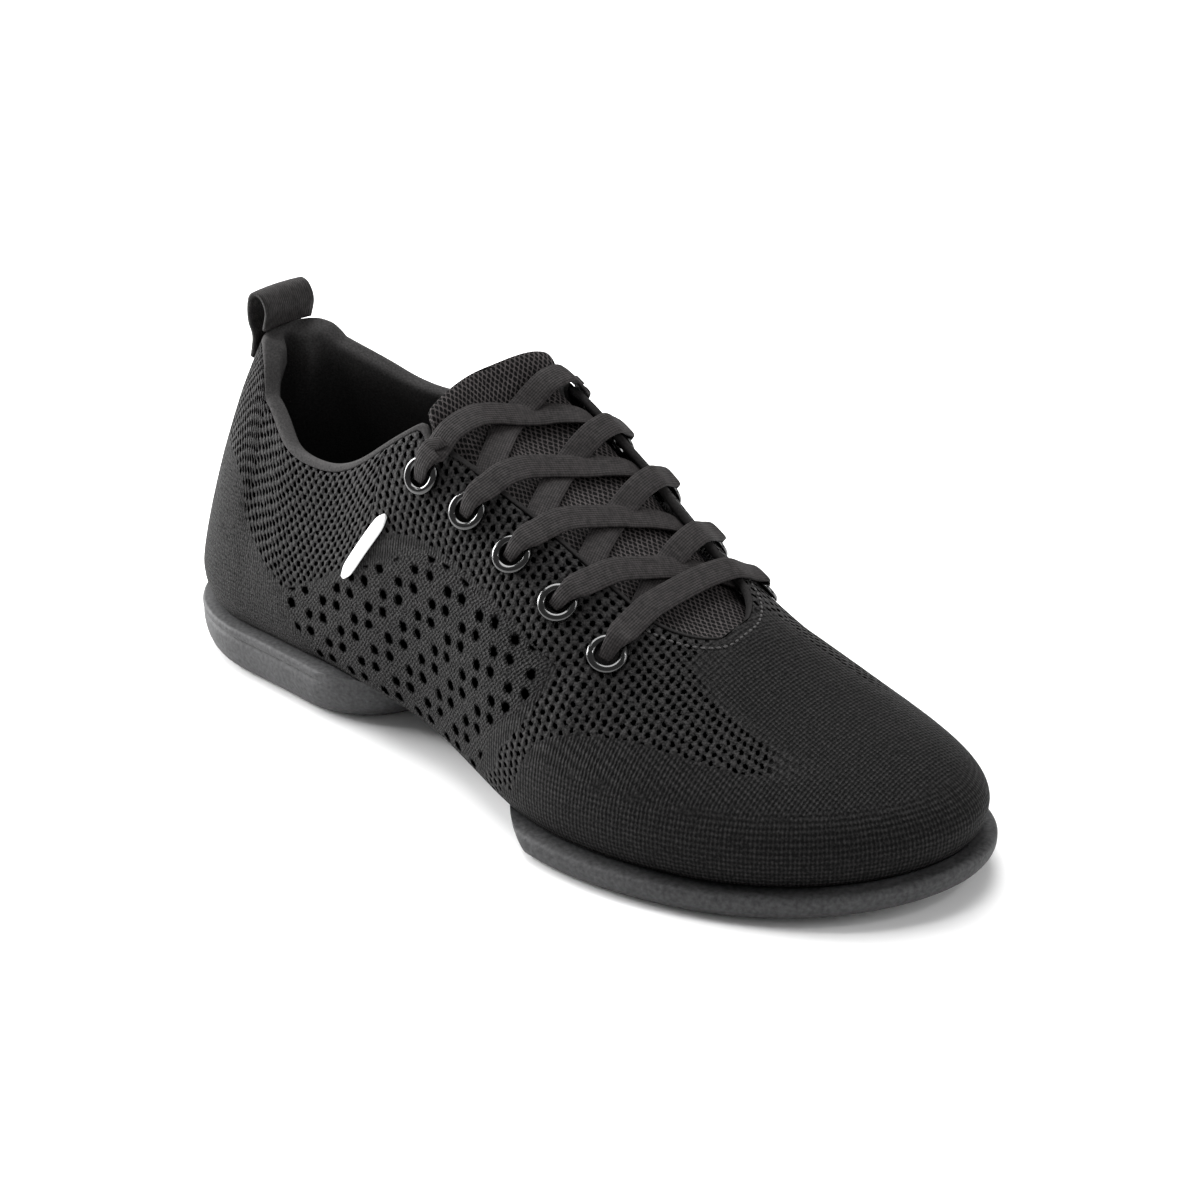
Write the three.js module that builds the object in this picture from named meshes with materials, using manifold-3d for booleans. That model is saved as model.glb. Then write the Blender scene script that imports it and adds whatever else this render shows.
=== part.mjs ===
// A knitted dance sneaker for the right foot, with a split sole. Millimetres, +Z up from the floor.
// +X runs from the heel to the toe and +Y to the inner (big toe) side. The finished pieces have their origin on the
// floor under the middle of the heel's round; the lengths along X below count from the back of the heel.
import * as THREE from "three";
import { mergeVertices } from "three/addons/utils/BufferGeometryUtils.js";
import Module from "manifold-3d";

const wasm = await Module();
wasm.setup();

// Driving dimensions of the last, measured over the knit
const upperLength = 262;
const ballWidth = 95;
const heelWidth = 67;
const heelCentre = 37; // from the back of the heel to the middle of its round
const toeReach = 38; // from the middle of the toe's round to its tip
const instepHeight = 95; // top of the foot at the first eyelets, above the floor
const tuck = 5; // how far the lower edge turns in under the widest line
const wideRise = 10; // height of the widest line above the lower edge
const edgeRound = 0.55; // how round the form is between the two, 0.5 to 1
const innerCrown = 0.25; // the inner side of the instep is fuller than the outer one
const innerSide = 0.16;

// Heights of the underside of the upper, above the floor
const heelBed = 15;
const foreBed = 7;
const toeSpring = 5;

// Knit wall, collar and opening
const wall = 2;
const gap = 0.3; // air between pieces that touch
const collarHeight = 95; // at the back of the heel
const throatTopHalf = 26.5;
const throatFrontHalf = 18;
const lastingMargin = 13; // width of the edge that turns in over the sole

// Plan of the widest line: place as a share of the length, half width as a share of the ball width
const planRows = {
  lateral: [
    { at: 0.141, half: 0.353 },
    { at: 0.4, half: 0.38 },
    { at: 0.665, half: 0.52 },
  ],
  medial: [
    { at: 0.141, half: 0.353 },
    { at: 0.42, half: 0.4 },
    { at: 0.73, half: 0.475 },
  ],
};
const toeRound = { lateral: 1.8, medial: 2.3 };
const heelRound = 2.15;

// Side view: place as a share of the length. lift is 1 at the heel bed and 0 at the fore bed, rise is the height
// of the widest line as a share of wideRise, ridge is the top of the last as a share of the instep height, centre is
// the shift of the middle line to the inner side as a share of the ball width, and side and crown are how
// straight the wall and how flat the top of the section are. inner is how far both grow on the inner side.
const heightRows = [
  { at: 0.0, lift: 1.02, rise: 1.1, ridge: 1.18, centre: 0, side: 0.18, crown: 0.25, inner: 0 },
  { at: 0.14, lift: 1.0, rise: 1.1, ridge: 1.18, centre: 0, side: 0.1, crown: 0.38, inner: 0 },
  { at: 0.2, lift: 1.0, rise: 1.1, ridge: 1.18, centre: 0.01, side: 0.32, crown: 0.42, inner: 0 },
  { at: 0.28, lift: 1.0, rise: 1.1, ridge: 1.17, centre: 0.03, side: 0.4, crown: 0.4, inner: 0.3 },
  { at: 0.36, lift: 0.85, rise: 1.1, ridge: 1.14, centre: 0.045, side: 0.62, crown: 0.55, inner: 0.95 },
  { at: 0.42, lift: 0.65, rise: 1.1, ridge: 1.08, centre: 0.05, side: 0.7, crown: 0.6, inner: 1 },
  { at: 0.52, lift: 0.25, rise: 1, ridge: 0.9, centre: 0.05, side: 0.7, crown: 0.6, inner: 0.8 },
  { at: 0.62, lift: 0.0, rise: 1, ridge: 0.735, centre: 0.045, side: 0.62, crown: 0.58, inner: 0.1 },
  { at: 0.72, lift: 0, rise: 1, ridge: 0.57, centre: 0.05, side: 0.52, crown: 0.54, inner: 0 },
  { at: 0.8, lift: 0, rise: 1, ridge: 0.46, centre: 0.07, side: 0.46, crown: 0.5, inner: 0 },
  { at: 0.86, lift: 0, rise: 1, ridge: 0.405, centre: 0.09, side: 0.5, crown: 0.52, inner: 0 },
  { at: 1.0, lift: 0, rise: 0.9, ridge: 0.33, centre: 0.1, side: 0.5, crown: 0.52, inner: 0 },
];
const springStart = 0.8;

// Collar line: station along the side, height as a share of the collar height
const collarRows = [
  { station: -1, lateral: 1.0, medial: 1.0 },
  { station: -0.4, lateral: 1.0, medial: 1.01 },
  { station: -0.15, lateral: 0.96, medial: 1.0 },
  { station: 0.0, lateral: 0.87, medial: 0.96 },
  { station: 0.05, lateral: 0.8, medial: 0.91 },
  { station: 0.11, lateral: 0.755, medial: 0.85 },
  { station: 0.17, lateral: 0.755, medial: 0.83 },
  { station: 0.24, lateral: 0.81, medial: 0.85 },
  { station: 0.3, lateral: 0.9, medial: 0.92 },
  { station: 0.345, lateral: 0.965, medial: 0.975 },
  { station: 0.4, lateral: 1.03, medial: 1.03 },
];
const throatTop = 0.38;
const throatFront = 0.82;
const throatRound = 0.09;
const throatStart = 0.08; // how soon the opening reaches its width behind the top
const throatBlend = 0.2; // how softly the collar line turns into the slot

const hands = ["lateral", "medial"];
const outward = { lateral: -1, medial: 1 };
const toeX = upperLength - toeReach;

const mix = (a, b, t) => a + (b - a) * t;
const clamp = (v, low, high) => Math.min(high, Math.max(low, v));
const ease = (t) => t * t * (3 - 2 * t);
const roundEnd = (t) => Math.sqrt(1 - (1 - clamp(t, 0, 1)) ** 2);

// Value of a named column at a place in a table, as a smooth curve that doesn't overshoot its rows
function column(rows, key, name, place) {
  const p = clamp(place, rows[0][key], rows[rows.length - 1][key]);
  const slope = (i) => (rows[i + 1][name] - rows[i][name]) / (rows[i + 1][key] - rows[i][key]);
  const tangent = (i) => {
    if (i === 0 || i === rows.length - 1) return 0;
    const a = slope(i - 1);
    const b = slope(i);
    return a * b <= 0 ? 0 : (2 * a * b) / (a + b);
  };
  let i = 0;
  while (i < rows.length - 2 && p > rows[i + 1][key]) i++;
  const span = rows[i + 1][key] - rows[i][key];
  const t = (p - rows[i][key]) / span;
  const a = rows[i][name];
  const b = rows[i + 1][name];
  return (
    a * (1 - ease(t)) +
    b * ease(t) +
    span * (tangent(i) * t * (1 - t) ** 2 - tangent(i + 1) * t * t * (1 - t))
  );
}

const height = (name, x) => column(heightRows, "at", name, x / upperLength);
const ridgeZ = (x) => height("ridge", x) * instepHeight;
const spineY = (x) => height("centre", x) * ballWidth;
const spineTipY = spineY(toeX);

function springZ(x) {
  const t = clamp((x / upperLength - springStart) / (1 - springStart), 0, 1.1);
  return toeSpring * t * t;
}

const underZ = (x) => mix(foreBed, heelBed, height("lift", x)) + springZ(x);

// Station -1 is the back of the heel, 0 the middle of the heel's round, 1 the toe tip
const stationAt = (x) => (x - heelCentre) / (toeX - heelCentre);

// Where a rib of the last meets the widest line, and where it meets the spine
function rib(hand, station) {
  const rows = planRows[hand];
  const sign = outward[hand];
  const half = (row) => row.half * ballWidth;
  const [heelRow, waistRow, ballRow] = rows;
  if (station < 0) {
    const turn = ((station + 1) * Math.PI) / 2;
    const back = Math.cos(turn) ** (2 / heelRound);
    const out = Math.sin(turn) ** (2 / heelRound);
    return {
      rim: new THREE.Vector2(heelCentre * (1 - back), (sign * heelWidth * out) / 2),
      core: new THREE.Vector2(heelCentre, 0),
    };
  }
  const x = mix(heelCentre, toeX, station);
  const core = new THREE.Vector2(x, spineY(x));
  const ballX = ballRow.at * upperLength;
  if (x > ballX) {
    const share = (x - ballX) / (toeX - ballX);
    const forward = share ** (2 / toeRound[hand]);
    const out = Math.sqrt(Math.max(0, 1 - share * share)) ** (2 / toeRound[hand]);
    return {
      rim: new THREE.Vector2(
        mix(ballX, upperLength, forward),
        mix(spineTipY, sign * half(ballRow), out),
      ),
      core,
    };
  }
  const waistX = waistRow.at * upperLength;
  const width =
    x < waistX
      ? mix(heelWidth / 2, half(waistRow), ease((x - heelCentre) / (waistX - heelCentre)))
      : mix(half(waistRow), half(ballRow), ease((x - waistX) / (ballX - waistX)));
  return { rim: new THREE.Vector2(x, sign * width), core };
}

// A point on the last. girth 0 is the spine underneath, 1 the lower edge, 2 the widest line, 3 the ridge on top.
function skin(hand, station, girth) {
  const { rim, core } = rib(hand, station);
  const inward = core.clone().sub(rim);
  const foot = rim.clone().addScaledVector(inward, tuck / inward.length());
  if (girth <= 1) {
    const p = core.clone().lerp(foot, girth);
    return new THREE.Vector3(p.x, p.y, underZ(p.x));
  }
  const low = underZ(foot.x);
  const wide = low + height("rise", rim.x) * wideRise;
  if (girth <= 2)
    return new THREE.CubicBezierCurve3(
      new THREE.Vector3(foot.x, foot.y, low),
      new THREE.Vector3(mix(foot.x, rim.x, edgeRound), mix(foot.y, rim.y, edgeRound), low),
      new THREE.Vector3(rim.x, rim.y, mix(wide, low, edgeRound)),
      new THREE.Vector3(rim.x, rim.y, wide),
    ).getPoint(girth - 1);
  const top = ridgeZ(core.x);
  const fall = ridgeZ(core.x + 1) - ridgeZ(core.x);
  const inner = hand === "medial" ? height("inner", core.x) : 0;
  const crown = height("crown", core.x) + innerCrown * inner;
  const side = height("side", core.x) + innerSide * inner;
  const shoulder = core.clone().lerp(rim, crown);
  return new THREE.CubicBezierCurve3(
    new THREE.Vector3(rim.x, rim.y, wide),
    new THREE.Vector3(rim.x, rim.y, mix(wide, top, side)),
    new THREE.Vector3(shoulder.x, shoulder.y, top + fall * (shoulder.x - core.x)),
    new THREE.Vector3(core.x, core.y, top),
  ).getPoint(girth - 2);
}

// Outward normal of one side of the last
function sideNormal(hand, station, girth) {
  const step = 1e-3;
  const along = skin(hand, Math.min(1, station + step), girth).sub(
    skin(hand, Math.max(-1, station - step), girth),
  );
  const up = skin(hand, station, Math.min(3, girth + step)).sub(
    skin(hand, station, Math.max(0, girth - step)),
  );
  const n = hand === "lateral" ? along.cross(up) : up.cross(along);
  if (n.length() < 1e-7) {
    const slope = ridgeZ(toeX) - ridgeZ(toeX - 1);
    return new THREE.Vector3(station > 0 ? -slope : 0, 0, girth > 2 ? 1 : -1).normalize();
  }
  return n.normalize();
}

// Outward normal, the same from both sides where they meet
function skinNormal(hand, station, girth) {
  const shared = girth === 0 || girth === 3 || station === -1 || station === 1;
  if (!shared) return sideNormal(hand, station, girth);
  return sideNormal("lateral", station, girth)
    .add(sideNormal("medial", station, girth))
    .normalize();
}

const skinAt = (hand, station, girth, lift) =>
  skin(hand, station, girth).addScaledVector(skinNormal(hand, station, girth), lift);

// Girth at which a rising measure of the rib reaches a value
function girthWhere(measure, value) {
  let low = 2;
  let high = 3;
  for (let i = 0; i < 30; i++) {
    const middle = (low + high) / 2;
    if (measure(middle) < value) low = middle;
    else high = middle;
  }
  return (low + high) / 2;
}

// Girth of the opening's edge: the lower of the collar line and the throat line, with a round corner
function edgeGirth(hand, station) {
  const wanted = column(collarRows, "station", hand, station) * collarHeight;
  const collar = girthWhere((g) => skin(hand, station, g).z, wanted);
  if (station < 0) return collar;
  if (station >= throatFront) return 3;
  const along = clamp((station - throatTop) / (throatFront - throatTop), 0, 1);
  const front = roundEnd((throatFront - station) / throatRound);
  const start = ease(clamp((station - throatTop) / throatStart + 1, 0, 1));
  const half = mix(throatTopHalf, throatFrontHalf, along) * front * start;
  const { core } = rib(hand, station);
  const throat = girthWhere((g) => -Math.abs(skin(hand, station, g).y - core.y), -half);
  const share = clamp(0.5 + (throat - collar) / (2 * throatBlend), 0, 1);
  return mix(throat, collar, share) - throatBlend * share * (1 - share);
}

// Indexed mesh whose equal points are one vertex, closed by the faces that are added
class Skin {
  points = [];
  faces = [];
  seen = new Map();
  vertex(p) {
    const key = [p.x, p.y, p.z].map((v) => Math.round(v * 500)).join();
    if (!this.seen.has(key)) {
      this.seen.set(key, this.points.length);
      this.points.push(p);
    }
    return this.seen.get(key);
  }
  triangle(a, b, c) {
    const t = [a, b, c].map((p) => this.vertex(p));
    if (new Set(t).size === 3) this.faces.push(...t);
  }
  quad(a, b, c, d) {
    this.triangle(a, b, c);
    this.triangle(a, c, d);
  }
  // Quads between neighbouring rows of points. The rows run so that their faces look outwards.
  sheet(rows, flip = false) {
    for (let i = 0; i + 1 < rows.length; i++)
      for (let j = 0; j + 1 < rows[i].length; j++) {
        const corners = [rows[i][j], rows[i + 1][j], rows[i + 1][j + 1], rows[i][j + 1]];
        this.quad(...(flip ? corners.reverse() : corners));
      }
  }
  volume() {
    let sum = 0;
    for (let i = 0; i < this.faces.length; i += 3) {
      const [a, b, c] = this.faces.slice(i, i + 3).map((k) => this.points[k]);
      sum += a.dot(b.clone().cross(c));
    }
    return sum / 6;
  }
  geometry() {
    if (this.volume() < 0) this.faces.reverse();
    const g = new THREE.BufferGeometry().setFromPoints(this.points);
    return g.setIndex(this.faces);
  }
}

function solidOf(geometry) {
  const g = geometry.clone();
  g.deleteAttribute("normal");
  g.deleteAttribute("uv");
  const merged = mergeVertices(g, 1e-3);
  return new wasm.Manifold(
    new wasm.Mesh({
      numProp: 3,
      vertProperties: merged.attributes.position.array,
      triVerts: new Uint32Array(merged.index.array),
    }),
  );
}

function geometryOf(solid) {
  const { vertProperties, triVerts, numVert, numProp } = solid.getMesh();
  const places = new Float32Array(numVert * 3);
  for (let i = 0; i < numVert; i++)
    places.set(vertProperties.subarray(i * numProp, i * numProp + 3), i * 3);
  return new THREE.BufferGeometry()
    .setAttribute("position", new THREE.BufferAttribute(places, 3))
    .setIndex(new THREE.BufferAttribute(triVerts, 1));
}

// Stations of the ribs from the back of the heel to the toe tip
const heelRibs = 8;
const collarRibs = 8;
const cornerRibs = 7;
const laceRibs = 9;
const frontRibs = 6;
const vampRibs = 13;
const cornerStart = 0.28;
const cornerEnd = 0.44;
const stations = [
  ...Array.from({ length: heelRibs }, (_, i) => -1 + i / heelRibs),
  ...Array.from({ length: collarRibs }, (_, i) => (cornerStart * i) / collarRibs),
  ...Array.from({ length: cornerRibs }, (_, i) => mix(cornerStart, cornerEnd, i / cornerRibs)),
  ...Array.from({ length: laceRibs }, (_, i) =>
    mix(cornerEnd, throatFront - throatRound, i / laceRibs),
  ),
  ...Array.from(
    { length: frontRibs },
    (_, i) => throatFront - throatRound * (1 - Math.sin((Math.PI / 2) * (i / frontRibs))),
  ),
  ...Array.from({ length: vampRibs + 1 }, (_, i) =>
    mix(throatFront, 1, Math.sin((Math.PI / 2) * (i / vampRibs))),
  ),
];

// The whole last as one closed form, grown outwards by a clearance. It cuts the hollow of the sole.
function filledLast(lift) {
  const body = new Skin();
  const girths = [0.2, 0.4, 0.6, 0.8, 0.9, 1, 1.33, 1.66, 2, 2.12, 2.25, 2.4, 2.6, 2.8, 3];
  for (const hand of hands)
    body.sheet(
      stations.map((s) => [
        skinAt(hand, s, 0, lift),
        ...girths.map((g) => skinAt(hand, s, g, lift)),
      ]),
      hand === "medial",
    );
  return solidOf(body.geometry());
}

// The sole unit
const heelFlare = 2; // how far the sole stands out past the knit
const foreFlare = 2.6;
const soleRound = 3.6; // how far the sole's side curves in at the floor
const soleFill = 2; // how far the block reaches up into the last, before the last is cut from it
const flareStart = 0.3; // share of the length at which the flare starts to grow
const flareRun = 0.3;
const soleRows = [
  { at: 0.0, rim: 0.26 },
  { at: 0.3, rim: 0.22 },
  { at: 0.45, rim: 0.2 },
  { at: 0.6, rim: 0.32 },
  { at: 0.75, rim: 0.14 },
  { at: 1.0, rim: 0.14 },
];

// Side of the sole: height as a share of the rim's height, inset as a share of the round at the floor
const soleSide = [
  { up: 0, inset: 1 },
  { up: 0.06, inset: 0.62 },
  { up: 0.18, inset: 0.3 },
  { up: 0.4, inset: 0.06 },
  { up: 0.68, inset: 0 },
  { up: 0.76, inset: 0.05 },
  { up: 0.8, inset: 0.3 },
  { up: 0.84, inset: 0.02 },
  { up: 0.95, inset: 0.02 },
  { up: 1, inset: 0.2 },
];

function soleBlock() {
  const block = new Skin();
  for (const hand of hands)
    block.sheet(
      stations.map((s) => {
        const { rim, core } = rib(hand, s);
        const out = rim.clone().sub(core).normalize();
        const share = rim.x / upperLength;
        const flare = mix(heelFlare, foreFlare, ease(clamp((share - flareStart) / flareRun, 0, 1)));
        const floor = springZ(rim.x);
        const top = underZ(rim.x) + column(soleRows, "at", "rim", share) * height("rise", rim.x) * wideRise;
        const side = soleSide.map(({ up, inset }) => {
          const p = rim.clone().addScaledVector(out, flare - inset * soleRound);
          return new THREE.Vector3(p.x, p.y, mix(floor, top, up));
        });
        const under = new THREE.Vector3(core.x, core.y, springZ(core.x));
        const over = new THREE.Vector3(core.x, core.y, underZ(core.x) + soleFill);
        return [under, ...side, over];
      }),
      hand === "medial",
    );
  return solidOf(block.geometry());
}

// Plan region of one pad: a rounded rectangle far wider than the sole
function padRegion(from, to, corner, halfWidth) {
  const s = new THREE.Shape();
  const y = halfWidth;
  s.moveTo(from + corner, -y);
  s.lineTo(to - corner, -y);
  s.quadraticCurveTo(to, -y, to, -y + corner);
  s.lineTo(to, y - corner);
  s.quadraticCurveTo(to, y, to - corner, y);
  s.lineTo(from + corner, y);
  s.quadraticCurveTo(from, y, from, y - corner);
  s.lineTo(from, -y + corner);
  s.quadraticCurveTo(from, -y, from + corner, -y);
  const tall = instepHeight * 2;
  const g = new THREE.ExtrudeGeometry(s, { depth: tall, bevelEnabled: false, curveSegments: 10 });
  return solidOf(g.translate(0, 0, -tall / 4));
}

const heelPadEnd = 0.34; // shares of the length
const forePadStart = 0.548;
const soleForm = soleBlock();
const footRoom = filledLast(gap);
const beyond = 20;
const heelCorner = 22;
const foreCorner = 38;
const heelSpare = 3; // from the widest line to the side of the heel's cutting form
const foreSpare = 8;
const heelPad = soleForm
  .intersect(padRegion(-beyond, heelPadEnd * upperLength, heelCorner, heelWidth / 2 + heelSpare))
  .subtract(footRoom);
const forePad = soleForm
  .intersect(
    padRegion(forePadStart * upperLength, upperLength + beyond, foreCorner, ballWidth / 2 + foreSpare),
  )
  .subtract(footRoom);

// Knit upper: an outer and an inner sheet, joined round the opening and round the two holes underneath
const archFrom = stationAt(0.34 * upperLength);
const archTo = stationAt(0.58 * upperLength);
const archRound = 0.08;

function bottomGirth(hand, station) {
  const { rim, core } = rib(hand, station);
  const reach = rim.distanceTo(core) - tuck;
  const closed = 1 - lastingMargin / reach;
  if (station >= archFrom && station <= archTo) return 0;
  const past = station < archFrom ? archFrom - station : station - archTo;
  return closed * roundEnd(past / archRound);
}

const bottomSteps = 2;
const sideSteps = 3;
const topSteps = 8;

function girthsOf(hand, station) {
  const from = bottomGirth(hand, station);
  const to = edgeGirth(hand, station);
  return [
    ...Array.from({ length: bottomSteps }, (_, i) => mix(from, 1, i / bottomSteps)),
    ...Array.from({ length: sideSteps }, (_, i) => 1 + i / sideSteps),
    ...Array.from({ length: topSteps + 1 }, (_, i) => mix(2, to, i / topSteps)),
  ];
}

function upperShell() {
  const shell = new Skin();
  for (const hand of hands) {
    const girths = stations.map((s) => girthsOf(hand, s));
    const flip = hand === "medial";
    const rows = (lift) => stations.map((s, i) => girths[i].map((g) => skinAt(hand, s, g, lift)));
    const outer = rows(0);
    const inner = rows(-wall);
    shell.sheet(outer, flip);
    shell.sheet(inner, !flip);
    const lastRow = girths[0].length - 1;
    const rimOf = (open, row) => {
      for (let i = 0; i + 1 < stations.length; i++) {
        if (!(open(girths[i][row]) || open(girths[i + 1][row]))) continue;
        const corners = [outer[i][row], outer[i + 1][row], inner[i + 1][row], inner[i][row]];
        shell.quad(...((row === 0) !== flip ? corners.reverse() : corners));
      }
    };
    rimOf((g) => g < 3, lastRow);
    rimOf((g) => g > 0, 0);
  }
  return solidOf(shell.geometry());
}

// Direction along a rib towards the ridge, at the opening's edge
function edgeRise(hand, station) {
  const g = edgeGirth(hand, station);
  return skin(hand, station, g).sub(skin(hand, station, g - 0.02)).normalize();
}

// Triangles that fill a closed, nearly flat loop, each in the loop's own direction
function fillOf(loop) {
  const normal = new THREE.Vector3();
  loop.forEach((p, i) => normal.add(p.clone().cross(loop[(i + 1) % loop.length])));
  const turn = new THREE.Quaternion().setFromUnitVectors(normal.normalize(), new THREE.Vector3(0, 0, 1));
  const flat = loop.map((p) => {
    const q = p.clone().applyQuaternion(turn);
    return new THREE.Vector2(q.x, q.y);
  });
  return THREE.ShapeUtils.triangulateShape(flat, []).map(([i, j, k]) => {
    const area = THREE.ShapeUtils.area([flat[i], flat[j], flat[k]]);
    return area < 0 ? [i, k, j] : [i, j, k];
  });
}

// A strip whose cross-sections are closed loops of points, capped at both ends
function loft(loops) {
  const body = new Skin();
  body.sheet(loops.map((loop) => [...loop, loop[0]]));
  const [first, last] = [loops[0], loops[loops.length - 1]];
  for (const [i, j, k] of fillOf(first)) body.triangle(first[i], first[j], first[k]);
  for (const [i, j, k] of fillOf(last)) body.triangle(last[i], last[k], last[j]);
  return solidOf(body.geometry());
}

// Places on the opening's edge, from the outer side round the heel to the inner side
function openingPath(end) {
  const there = stations.filter((s) => s < end).concat(end);
  const behind = there.slice(1);
  return [
    ...behind.map((station) => ({ hand: "lateral", station })).reverse(),
    ...there.map((station) => ({ hand: "medial", station })),
  ];
}

// Padded lining of the heel and collar, rolled over the knit's edge
const liningEnd = mix(cornerStart, cornerEnd, 5 / cornerRibs);
const bead = 2.6; // how far the rolled edge stands above the knit
const padThick = 4.6;
const padThin = 0.9;
const beadRound = 0.9; // how far the rolled edge turns in at its top
const padRows = [
  { station: -1, pad: 1 },
  { station: 0, pad: 1 },
  { station: 0.2, pad: 0.35 },
  { station: 0.29, pad: 0 },
];

function liningLoop({ hand, station }) {
  const top = edgeGirth(hand, station);
  const rise = edgeRise(hand, station);
  const full = mix(padThin, padThick, column(padRows, "station", "pad", station));
  const face = wall + gap;
  const over = (up, lift) => skinAt(hand, station, top, lift).addScaledVector(rise, up);
  const girths = girthsOf(hand, station).slice(bottomSteps + sideSteps - 1);
  const outside = girths.map((g) => skinAt(hand, station, g, -face));
  const inside = girths
    .map((g, i) => {
      const share = i / (girths.length - 1);
      const puff = Math.sin(Math.PI * mix(0.06, 0.8, share));
      return skinAt(hand, station, g, -face - mix(padThin, full, puff));
    })
    .reverse();
  const roll = [
    over(gap, -face),
    over(gap, 0),
    over(bead * 0.7, -beadRound * 0.1),
    over(bead, -beadRound),
    over(bead, -wall),
    over(bead * 0.6, -face - full * 0.45),
  ];
  return [...outside, ...roll, ...inside];
}

const liningSolid = () => loft(openingPath(liningEnd).map(liningLoop));

// Narrow binding round the lacing slot
const bindingGap = 0.42;
const bindingWide = 1.8;
function bindingLoop({ hand, station }) {
  const top = edgeGirth(hand, station);
  const rise = edgeRise(hand, station);
  const over = (up, lift) => skinAt(hand, station, top, lift).addScaledVector(rise, up);
  return [
    over(bindingGap, -wall),
    over(bindingGap, 0),
    over(bindingWide * 0.5, wall * 0.05),
    over(bindingWide * 0.9, -wall * 0.2),
    over(bindingWide, -wall * 0.8),
    over(bindingWide * 0.6, -wall * 1.1),
  ];
}

function bindingSolid() {
  const from = liningEnd + gap / (toeX - heelCentre);
  const there = [from, ...stations.filter((s) => s > from + 0.005 && s < throatFront - 0.004)];
  const path = [
    ...there.map((station) => ({ hand: "medial", station })),
    { hand: "medial", station: throatFront - 0.0035 },
    { hand: "lateral", station: throatFront - 0.0035 },
    ...there.map((station) => ({ hand: "lateral", station })).reverse(),
  ];
  return loft(path.map(bindingLoop));
}

// Insole that lies on the turned-in edge
const insoleThick = 3;
const insoleClear = 1.2; // from the wall to the edge of the insole

function insoleSolid() {
  const body = new Skin();
  for (const hand of hands)
    body.sheet(
      stations.map((s) => {
        const { rim, core } = rib(hand, s);
        const inward = core.clone().sub(rim);
        const away = Math.min(1, (tuck + wall + insoleClear) / inward.length());
        const edge = rim.clone().addScaledVector(inward, away);
        const low = (p) => new THREE.Vector3(p.x, p.y, underZ(p.x) + wall + gap);
        const high = (p) => low(p).add(new THREE.Vector3(0, 0, insoleThick));
        const middle = core.clone().lerp(edge, 0.5);
        return [low(core), low(middle), low(edge), high(edge), high(middle), high(core)];
      }),
      hand === "medial",
    );
  return solidOf(body.geometry());
}

// Laces: flat woven cord over and under the edges of the slot
const laceWidth = 7.4;
const laceThick = 1.3;
const tongueDrop = wall + laceThick + 2.5 * gap;
const rows = 5;
const eyeletIn = { top: 7.2, front: 14.2 }; // from the edge of the slot to the middle of an eyelet
const firstRow = 0.382;
const lastRow = 0.738;
const rowStation = (k) => mix(firstRow, lastRow, k / (rows - 1));
const rowIn = (k) => mix(eyeletIn.top, eyeletIn.front, k / (rows - 1));

// Girth at a distance along the rib below the opening's edge
function girthBelow(hand, station, distance) {
  const top = edgeGirth(hand, station);
  const from = skin(hand, station, top);
  let low = 2;
  let high = top;
  for (let i = 0; i < 24; i++) {
    const middle = (low + high) / 2;
    if (skin(hand, station, middle).distanceTo(from) > distance) low = middle;
    else high = middle;
  }
  return (low + high) / 2;
}

const acrossOf = (hand, station, g) => skin(hand, station, g).y - rib(hand, station).core.y;
const slotAcross = (hand, station) => acrossOf(hand, station, edgeGirth(hand, station));

// How far the taut laces press the tongue down, below the ridge between the slot's edges
const sagShare = 0.8;
const sagStart = 0.345;
const sagRun = 0.1;
const laceSag = 0.84; // the laces' own share of it, so that they clear the tongue

function sagAt(station, across) {
  const hand = across < 0 ? "lateral" : "medial";
  const edges = hands.map((h) => skin(h, station, edgeGirth(h, station)).z);
  const deep = Math.max(0, ridgeZ(rib(hand, station).core.x) - Math.max(...edges));
  const open = Math.max(gap, Math.abs(slotAcross(hand, station)));
  const away = Math.min(1, Math.abs(across) / open);
  const start = ease(clamp((station - sagStart) / sagRun, 0, 1));
  return -sagShare * deep * start * (1 - away ** 2) ** 2;
}

// Tongue: a padded strip that follows the last under the slot
const tongueTop = 0.357;
const tongueEnd = 0.87;
const tongueHalfTop = 33;
const tongueHalfEnd = 20;
const tongueCorner = 0.06;
const tongueThick = { top: 6, low: 2.4 };
const tongueStand = 4.8; // how far its top stands out of the slot
const tongueStandEnd = 0.41;
const tongueFlat = 2.4; // its sides stand out more than its middle
const tongueClear = 2.5; // from the slot's edge to where it starts to stand out
const tongueRamp = 6;
const tongueNeck = 0.88; // its width at the very top as a share of that below the round corners
const tongueStations = 17;
const tongueSteps = 8;

function tonguePlace(station) {
  const along = (station - tongueTop) / (tongueEnd - tongueTop);
  const round = roundEnd((station - tongueTop) / tongueCorner + 0.12);
  const half = mix(tongueHalfTop, tongueHalfEnd, along) * mix(tongueNeck, 1, round);
  const thick = mix(tongueThick.top, tongueThick.low, ease(clamp(along * 3, 0, 1)));
  const stand = tongueStand * ease(clamp((tongueStandEnd - station) / (tongueStandEnd - tongueTop), 0, 1));
  return { half, thick: thick * mix(0.5, 1, round), stand };
}

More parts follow.
